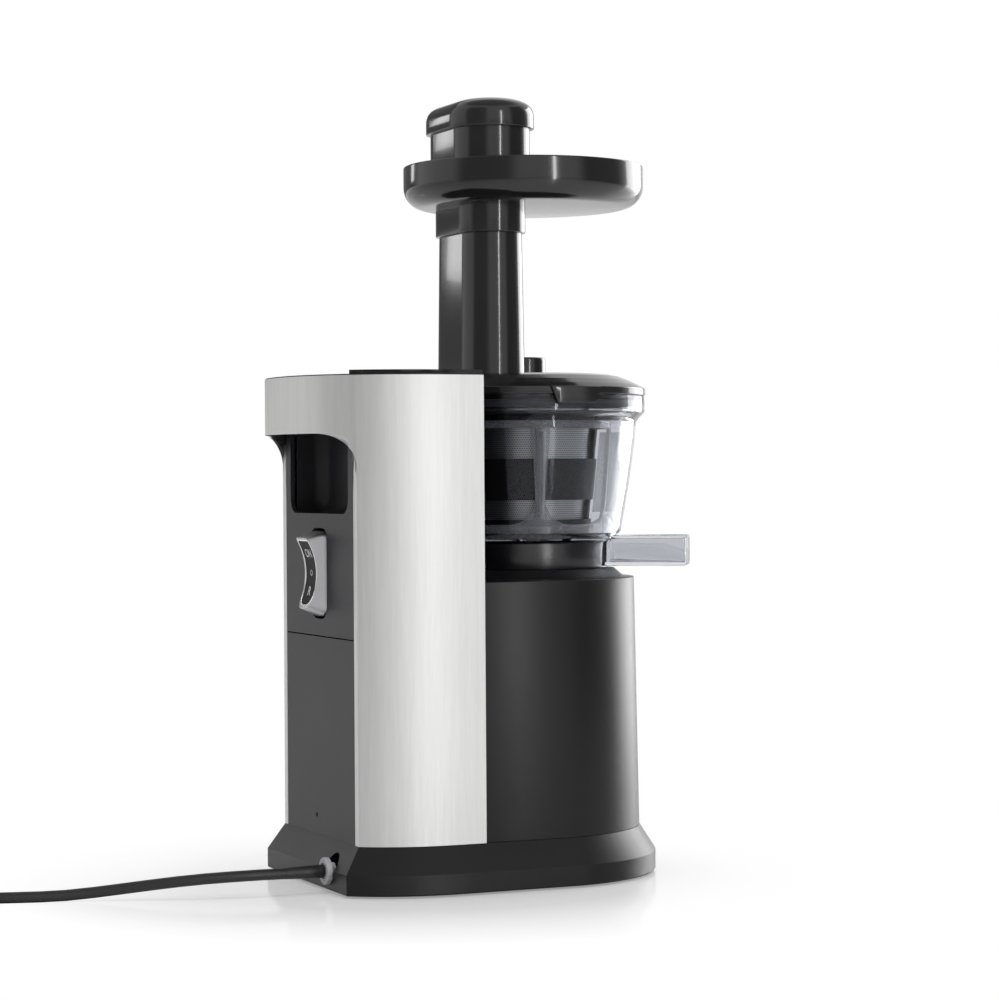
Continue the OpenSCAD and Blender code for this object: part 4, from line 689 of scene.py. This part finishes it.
rim = combine(rocker_block("rocker_rim", RIM, 92, 104), hollow(0.4), "INTERSECT")
combine(rim, hollow(-0.12))
combine(rim, rocker_block("rim_inside", GROOVE, 91, 105))
dress(smooth(rim, 35), silver_edge, "rocker", "silver_plastic")
inlay = combine(rocker_block("rocker_face", INLAY, 92, 104), hollow(0.48), "INTERSECT")
combine(inlay, hollow(0.12))
inlay_black = textured_plastic("inlay_black", (0.009, 0.009, 0.010), 0.5)
inlay_black.set(Specular_IOR_Level=0.12)
dress(smooth(inlay, 35), inlay_black, "rocker", "gloss_black", "rocker_inlay")
finish_node("switch_body", dark_plastic)

print_white = Finish("print_white", Base_Color=(0.75, 0.75, 0.75, 1), Roughness=0.5)
ink = print_white.noise(print_white.place(), 2500.0)
print_white.set(Base_Color=print_white.mix(ink, (0.6, 0.6, 0.6), (0.8, 0.8, 0.8)))
MARK_THICK = 0.05
for name, word, dz, size in (
    ("mark_on", "ON", 11.0, 6.4), ("mark_stop", "O", 0.3, 4.6), ("mark_reverse", "R", -9.8, 7.0),
):
    letters = bpy.data.curves.new("mark_" + word, "FONT")
    letters.body = word
    letters.size = size * MM
    letters.align_x = "CENTER"
    letters.align_y = "CENTER"
    letters.resolution_u = 3
    mark = bpy.data.objects.new(name, letters)
    bpy.context.scene.collection.objects.link(mark)
    choose(mark)
    bpy.ops.object.convert(target="MESH")
    mark = bpy.context.active_object
    for vertex in mark.data.vertices:
        x, z = vertex.co.x, vertex.co.y + (ROCKER_Z + dz) * MM
        vertex.co = (-x, (dip_y(z / MM) - 0.06) * MM, z)
    choose(mark)
    bpy.ops.object.mode_set(mode="EDIT")
    bpy.ops.mesh.select_all(action="SELECT")
    bpy.ops.mesh.extrude_region_move(TRANSFORM_OT_translate={"value": (0, -MARK_THICK * MM, 0)})
    bpy.ops.mesh.select_all(action="SELECT")
    bpy.ops.mesh.normals_make_consistent(inside=False)
    bpy.ops.object.mode_set(mode="OBJECT")
    dress(mark, print_white, "rocker", "silver_plastic")

# ------------------------------------------------------------------ motor, gearbox and controls
# Inside stand a small induction motor with its fan, a two-stage gearbox in a cast case, the
# control board, its capacitor and the switch that the lid closes.

copper = metal("winding_copper", (0.62, 0.27, 0.13), 0.38, (1, 1, 5), 700.0, 0.0002)
cast = textured_plastic("cast_aluminium", (0.42, 0.42, 0.43), 0.5, 500.0, 0.0001)
cast.set(Metallic=0.9)
stack = metal("stack_steel", (0.36, 0.36, 0.38), 0.42, (0.05, 0.05, 4), 1200.0, 0.0001)
ground = metal("ground_steel", (0.66, 0.66, 0.68), 0.24, (1, 1, 8), 1200.0)
bronze = metal("bush_bronze", (0.58, 0.38, 0.17), 0.35)
gear_nylon = textured_plastic("gear_nylon", (0.62, 0.58, 0.46), 0.42, 700.0, 0.00003)
board_green = textured_plastic("board_green", (0.02, 0.12, 0.05), 0.35, 400.0, 0.00005)
seal_red = textured_plastic("seal_silicone", (0.30, 0.035, 0.025), 0.45, 500.0, 0.00003)
for finish, nodes in (
    (copper, ("motor_windings",)), (cast, ("gearbox_case", "gearbox_cover")),
    (stack, ("motor_stator", "motor_rotor", "motor_bracket_lower", "motor_bracket_upper")),
    (ground, ("motor_shaft", "drive_shaft", "lay_gear", "idler_pin")),
    (screw_steel, ("motor_bolts", "gearbox_screws")), (bronze, ("shaft_bushes",)),
    (gear_nylon, ("output_gear", "auger_hub", "brush_idler", "lid_bush")), (board_green, ("control_board",)),
    (dark_plastic, ("cooling_fan", "run_capacitor", "interlock_switch", "pulp_plug")),
    (foot_rubber, ("shaft_seal",)), (seal_red, ("bowl_seal",)),
):
    for node in nodes:
        finish_node(node, finish)

# ------------------------------------------------------------------ bowl
# The bowl is moulded in clear, slightly smoky plastic: a tapered wall under a stepped rim, a floor
# with a hub, and the juice spout. It stands in a black ring.

BOWL_Y = -33.175
smoke = Finish("smoky_clear", Base_Color=(0.69, 0.705, 0.735, 1), Roughness=0.0, IOR=1.46,
               Transmission_Weight=1.0, Specular_Tint=(0.35, 0.35, 0.37, 1))
ripple = smoke.noise(smoke.place(), 60.0, 2.0)
smoke.bump(ripple, 0.00008, 0.5)
# Light on its way to or from a dull surface goes straight through, so the inside isn't left dark
shadow, diffuse = (smoke.add("ShaderNodeLightPath", {}, output=ray) for ray in (1, 2))
straight = shadow.sum("MAXIMUM", shadow, diffuse)
pale = smoke.add("ShaderNodeBsdfTransparent", {}, (0.86, 0.87, 0.88, 1))
smoke.show(smoke.add("ShaderNodeMixShader", {}, straight, smoke.own_look(), pale))

WALL_FOOT, WALL_RISE, WALL_THICK = 192, 62, 2.4
FOOT_R, FLARE = 54.1, 9.2
FLOOR_LOW, FLOOR_TOP = 185.8, 188.5
wall = []
for step in range(17):
    t = step / 16
    wall.append((FOOT_R + FLARE * (1 - (1 - t) ** 1.33), WALL_FOOT + WALL_RISE * t))
outer = [(9.8, FLOOR_LOW), (46.6, FLOOR_LOW), (47.4, 185.95), (50.6, 187.4)] + wall
inner = [(r - WALL_THICK, z) for r, z in reversed(wall)]
rim = rounded([(66.2, 257.4, 0), (68.2, 259.4, 0.5), (68.2, 268.4, 0.7), (65.8, 268.4, 0.7), (65.8, 260.4, 0.6),
               (61.9, 257.5, 0)], 3)
bowl = spun("bowl_wall", outer + rim + inner + [(48, FLOOR_TOP), (9.8, FLOOR_TOP)], (0, BOWL_Y), 128)
hub = spun("bowl_hub", [(9.8, 177.8), (12.8, 177.8), (12.8, 186.4), (9.8, 186.4)], (0, BOWL_Y), 64)
combine(bowl, hub, "UNION")


def spout_box(name, turn, r0, r1, width, z0, z1, edge=0.0):
    """A block that lies along a direction from the bowl's axis."""
    piece = block(name, r0, r1, -width / 2, width / 2, z0, z1)
    if edge:
        soften(piece, edge, 3)
    return moved(piece, turn, "Z", (0, BOWL_Y, 0))


JUICE, PULP = 236.35, 330
SPOUT_LOW, SPOUT_WALL = 172.7, 2
bore_low = SPOUT_LOW + SPOUT_WALL
for turn, root, reach, width, top, bore_top in (
    (JUICE, 42, 92.5, 24, 190.1, 188.1), (PULP, 22, 88, 22, FLOOR_TOP, FLOOR_LOW),
):
    combine(bowl, spout_box("spout_root", turn, root, 52, width, SPOUT_LOW, FLOOR_TOP, 0.5), "UNION")
    combine(bowl, spout_box("spout_tube", turn, 50, reach, width, SPOUT_LOW, top, 0.9), "UNION")
    bore_width = width - 2 * SPOUT_WALL
    combine(bowl, spout_box("spout_bore", turn, root + SPOUT_WALL, reach + 4, bore_width, bore_low, bore_top, 0.5))
combine(bowl, spout_box("floor_hole", JUICE, 44, 50, 20, bore_low, 189.5))
combine(bowl, spout_box("pulp_hole", PULP, 24, 33.4, 16, 184.8, 189.5))
smooth(bowl, 30)
dress(bowl, smoke, "bowl", "clear_smoke", "juice_bowl")
ring_piece = skin_of("bowl_base", "bowl_ring", 0.5, 2)
ring_black = textured_plastic("ring_black", (0.007, 0.006, 0.008), 0.22)
ring_black.set(Specular_IOR_Level=0.55)
dress(ring_piece, ring_black, "bowl", "black_plastic", "bowl_base")

# ------------------------------------------------------------------ strainer
# A black frame with a wide middle band carries the perforated steel sheet, whose hundreds of
# fine holes run in close staggered rows.

perforated = Finish("perforated_steel", Metallic=1.0)
spot = perforated.place(shift=(0, -BOWL_Y * MM, 0))
x, y, z = (perforated.add("ShaderNodeSeparateXYZ", {}, spot, output=axis) for axis in range(3))
HOLES_AROUND, ROW_PITCH, HOLE_R = 184, 0.00118, 0.27
around = perforated.add("ShaderNodeMath", {"operation": "ARCTAN2"}, y, x) * (HOLES_AROUND / (2 * math.pi))
row = z * (1 / ROW_PITCH)
shift = row.sum("FLOOR", row) * 0.5
across = (around + shift).fract() - 0.5
up = row.fract() - 0.5
distance = (across * across + up * up) ** 0.5
holes = distance < HOLE_R
sheen = perforated.noise(spot, 60.0)
perforated.set(Base_Color=perforated.mix(holes, (0.38, 0.385, 0.39), (0.03, 0.03, 0.03)),
               Roughness=0.28 + sheen * 0.15 + holes * 0.3, Metallic=1 - holes * 0.9)
perforated.bump(1 - holes, 0.0002)
sheet_piece = smooth(spun("perforated_sheet", [(34.98, 197.8), (41.0, 257.1), (40.4, 257.1), (34.38, 197.8)],
                          (0, BOWL_Y), 128), 40)
dress(sheet_piece, perforated, "bowl", "perforated_steel", "strainer_mesh")


def sector(start, end, r0, r1):
    """Outline of a piece of a ring round the bowl's axis, between two directions in degrees."""
    angles = [math.radians(start + (end - start) * k / 16) for k in range(17)]
    return ([(r1 * math.cos(a), BOWL_Y + r1 * math.sin(a)) for a in angles]
            + [(r0 * math.cos(a), BOWL_Y + r0 * math.sin(a)) for a in reversed(angles)])


cage_outline = rounded([
    (23.55, 195.6, 0), (37.0, 195.6, 0.5), (42.9, 252.1, 0), (46.0, 252.1, 0.4), (46.0, 258.1, 0.6),
    (41.3, 258.1, 0.3), (34.99, 197.4, 0), (23.55, 197.4, 0)], 3)
cage = spun("strainer_cage", cage_outline, (0, BOWL_Y), 96)
FIRST_RIB, LEG_R = 166.3, 28.4
window_tools = []
for low_z, high_z in ((199.2, 210.1), (233.1, 250.1)):
    for rib in range(6):
        start = FIRST_RIB + 60 * rib
        window = prism("mesh_window", sector(start + 2.4, start + 57.6, 30, 52), low_z, high_z)
        window_tools.append(soften(window, 1.0, 3))
choose(*window_tools)
bpy.ops.object.join()
combine(cage, window_tools[0])
for direction in (PULP - 240, PULP - 120):
    a = math.radians(direction)
    leg = spun("cage_leg", [(0, FLOOR_TOP), (2.5, FLOOR_TOP), (2.5, 196.4), (0, 196.4)],
               (LEG_R * math.cos(a), BOWL_Y + LEG_R * math.sin(a)), 24)
    combine(cage, leg, "UNION")
combine(cage, spout_box("duct_wall", PULP, 24.2, 33.2, 15.8, FLOOR_TOP, 196.4), "UNION")
combine(cage, spout_box("duct_hole", PULP, 24.8, 32.6, 14.4, 187.5, 199))
smooth(cage, 35)
cage_black = textured_plastic("cage_black", (0.0045, 0.0045, 0.0055), 0.42, 500.0, 0.00001)
cage_black.set(Specular_IOR_Level=0.2)
dress(cage, cage_black, "bowl", "black_plastic", "strainer_frame")

# ------------------------------------------------------------------ turning brush and auger
# A smoky clear cage with U-shaped windows turns between the strainer and the bowl and carries
# pale wiper blades of see-through silicone. The black auger stands in the middle.

brush_smoke = Finish("brush_smoke", Base_Color=(0.30, 0.30, 0.32, 1), Specular_IOR_Level=0.5)
waver = brush_smoke.noise(brush_smoke.place(), 90.0)
brush_smoke.set(Roughness=0.16 + waver * 0.08, Alpha=0.38 + waver * 0.08)
brush = skin_of("brush_frame", "brush_cage", 0.5, 2, 35, 40)
dress(brush, brush_smoke, "brush", "clear_smoke", "brush_frame")
blades = skin_of("wiper_blades", "wipers", 0.25, 2)
blade_pale = textured_plastic("blade_silicone", (0.62, 0.62, 0.64), 0.5, 500.0)
blade_pale.set(Alpha=0.35)
dress(blades, blade_pale, "brush", "seal_rubber", "wiper_blades")
auger = skin_of("auger", "auger_screw", 0.3, 2, 40, 45)
dress(auger, satin_black, "auger", "black_plastic", "auger")

# ------------------------------------------------------------------ lid
# A gloss black lid with a stepped crown, a latch tab, a centre boss and the tall oval feed chute,
# all one moulding. A dark sealing ring sits under its edge.

gloss = Finish("piano_black", Specular_IOR_Level=0.42, Coat_Weight=0.2, Coat_Roughness=0.04)
place = gloss.place()
haze = gloss.noise(place, 22.0, 3.0)
dust = gloss.noise(place, 1500.0, 2.0)
gloss.set(Base_Color=gloss.mix(haze, (0.0075, 0.0075, 0.008), (0.012, 0.012, 0.0125)),
          Roughness=0.1 + haze * 0.05 + dust * 0.03)
gloss.bump(haze, 0.00006, 0.4)
CHUTE_HALF, CHUTE_Y, BORE_R = 14.6, -6.375, 15.2


def oval(r, z, steps=32):
    """Outline of the chute's stadium shape, with its straight sides along X."""
    points = []
    for side in (1, -1):
        for k in range(steps + 1):
            a = math.radians(-90 * side + 180 * k / steps)
            points.append((side * CHUTE_HALF + r * math.cos(a), CHUTE_Y + r * math.sin(a), z))
    return points


def oval_block(name, *sizes):
    """A solid through such outlines, with a (radius, height) pair for each."""
    return lofted(name, [oval(r, z) for r, z in sizes])


LID_EDGE = 268.7
crown_outline = rounded([
    (60.2, 258.5, 0.3), (62.5, 258.5, 0.3), (62.5, LID_EDGE, 0), (68.7, LID_EDGE, 0.5), (68.7, 272.6, 0.9),
    (64.3, 275.0, 0.7), (59.5, 277.3, 2.0), (53.8, 279.6, 4.0), (48.0, 280.7, 3.0), (12.0, 281.2, 0.8),
    (12.0, 290.8, 1.6), (0, 290.8, 0), (0, 278.2, 0), (12.0, 278.2, 0), (48.0, 277.6, 1.0), (56.5, 274.5, 1.0),
    (60.2, 272.2, 0)], 5)
lid = spun("lid_shell", crown_outline, (0, BOWL_Y), 128)
pin_socket = spun("pin_socket", [(8.0, 262.6), (10.0, 262.6), (10.0, 279.0), (8.0, 279.0)], (0, BOWL_Y), 64)
combine(lid, pin_socket, "UNION")
chute = oval_block("feed_chute", (18.75, 277.8), (18.75, 279.2), (17.42, 372.2), (17.3, 372.9), (17.0, 373.3))
combine(lid, chute, "UNION")
combine(lid, oval_block("chute_bore", (BORE_R, 257), (BORE_R, 374.5)))

# Latch tab: part of a turned ring, cut to a trapezium that narrows downwards
latch_outline = rounded([(65.7, LID_EDGE, 0), (68.9, LID_EDGE, 0), (68.9, 263.3, 0.3), (71.3, 263.3, 0.5),
                         (71.3, 272.6, 0.8), (65.7, 272.6, 0)], 3)
latch = spun("latch_tab", latch_outline, (0, BOWL_Y), 180)
latch_front = ((-15, 272.7), (-11.3, 263.2), (11.3, 263.2), (15, 272.7))
mask = lofted("latch_mask", [[(x, BOWL_Y + y, z) for y, z in latch_front] for x in (-40, -90)])
combine(latch, mask, "INTERSECT")
soften(latch, 0.5, 2, 50)
combine(lid, latch, "UNION")
smooth(lid, 35)
dress(lid, gloss, "lid", "gloss_black", "lid")
gasket = skin_of("lid_gasket", "lid_seal", 0.3, 2)
gasket_dark = textured_plastic("gasket_silicone", (0.03, 0.03, 0.033), 0.5, 500.0)
dress(gasket, gasket_dark, "lid_ring", "seal_rubber", "lid_gasket")

# ------------------------------------------------------------------ tray
# A round gloss black tray with a rolled bottom edge sits on the chute by an oval collar.

TRAY_R, EDGE_R, TRAY_THICK, TRAY_LOW = 68.2, 12.0, 2.4, 375.5


def quarter(r, count=12):
    """The rolled bottom edge of the tray, from its floor out to its wall."""
    return [(TRAY_R - EDGE_R + r * math.cos(a), TRAY_LOW + EDGE_R + r * math.sin(a))
            for a in (math.radians(-90 + 90 * k / count) for k in range(count + 1))]


lip = rounded([(TRAY_R, 390, 0), (TRAY_R, 398.9, 0.9), (65.8, 398.9, 0.9), (65.8, 390, 0)], 4)
tray_outline = [(0, TRAY_LOW)] + quarter(EDGE_R) + lip + quarter(EDGE_R - TRAY_THICK)[::-1] + [(0, 377.9)]
tray = spun("feed_tray", tray_outline, (0, BOWL_Y), 144)
combine(tray, oval_block("tray_collar", (19.2, 359.5), (19.5, 359.7), (19.6, 360.1), (19.6, 376.2)), "UNION")
combine(tray, oval_block("tray_mouth", (BORE_R, 358), (BORE_R, 379.5)))
combine(tray, oval_block("collar_socket", (17.7, 358), (17.7, 373.45)))
smooth(tray, 35)
dress(tray, gloss, "tray", "gloss_black", "hopper_tray")

# ------------------------------------------------------------------ pusher
# The food pusher: an oval plunger, a wide oval grip that stands on the tray, and a domed cap.

SEAM_Z = 417.7
grip = oval_block("pusher_grip", (12.6, 294.4), (14.0, 292.2), (14.45, 292.35), (14.7, 292.9), (14.7, 378.2),
                  (21.7, 378.2), (22.15, 378.35), (22.3, 378.8), (22.3, SEAM_Z))
smooth(grip, 35)
dress(grip, gloss, "pusher", "gloss_black", "pusher_body")

crown = [(24.0, SEAM_Z), (24.6, 417.85), (24.8, 418.4), (24.8, 424.6), (24.65, 426.2), (24.2, 427.9), (23.4, 429.5),
         (22.2, 430.9), (20.4, 432.15), (18.0, 433.2), (15.0, 434.05), (11.0, 434.7), (6.0, 435.1), (1.0, 435.2)]
cap = oval_block("pusher_crown", (19.5, 412.0), (19.5, SEAM_Z), *crown)
smooth(cap, 35)
dress(cap, gloss, "pusher", "gloss_black", "pusher_cap")
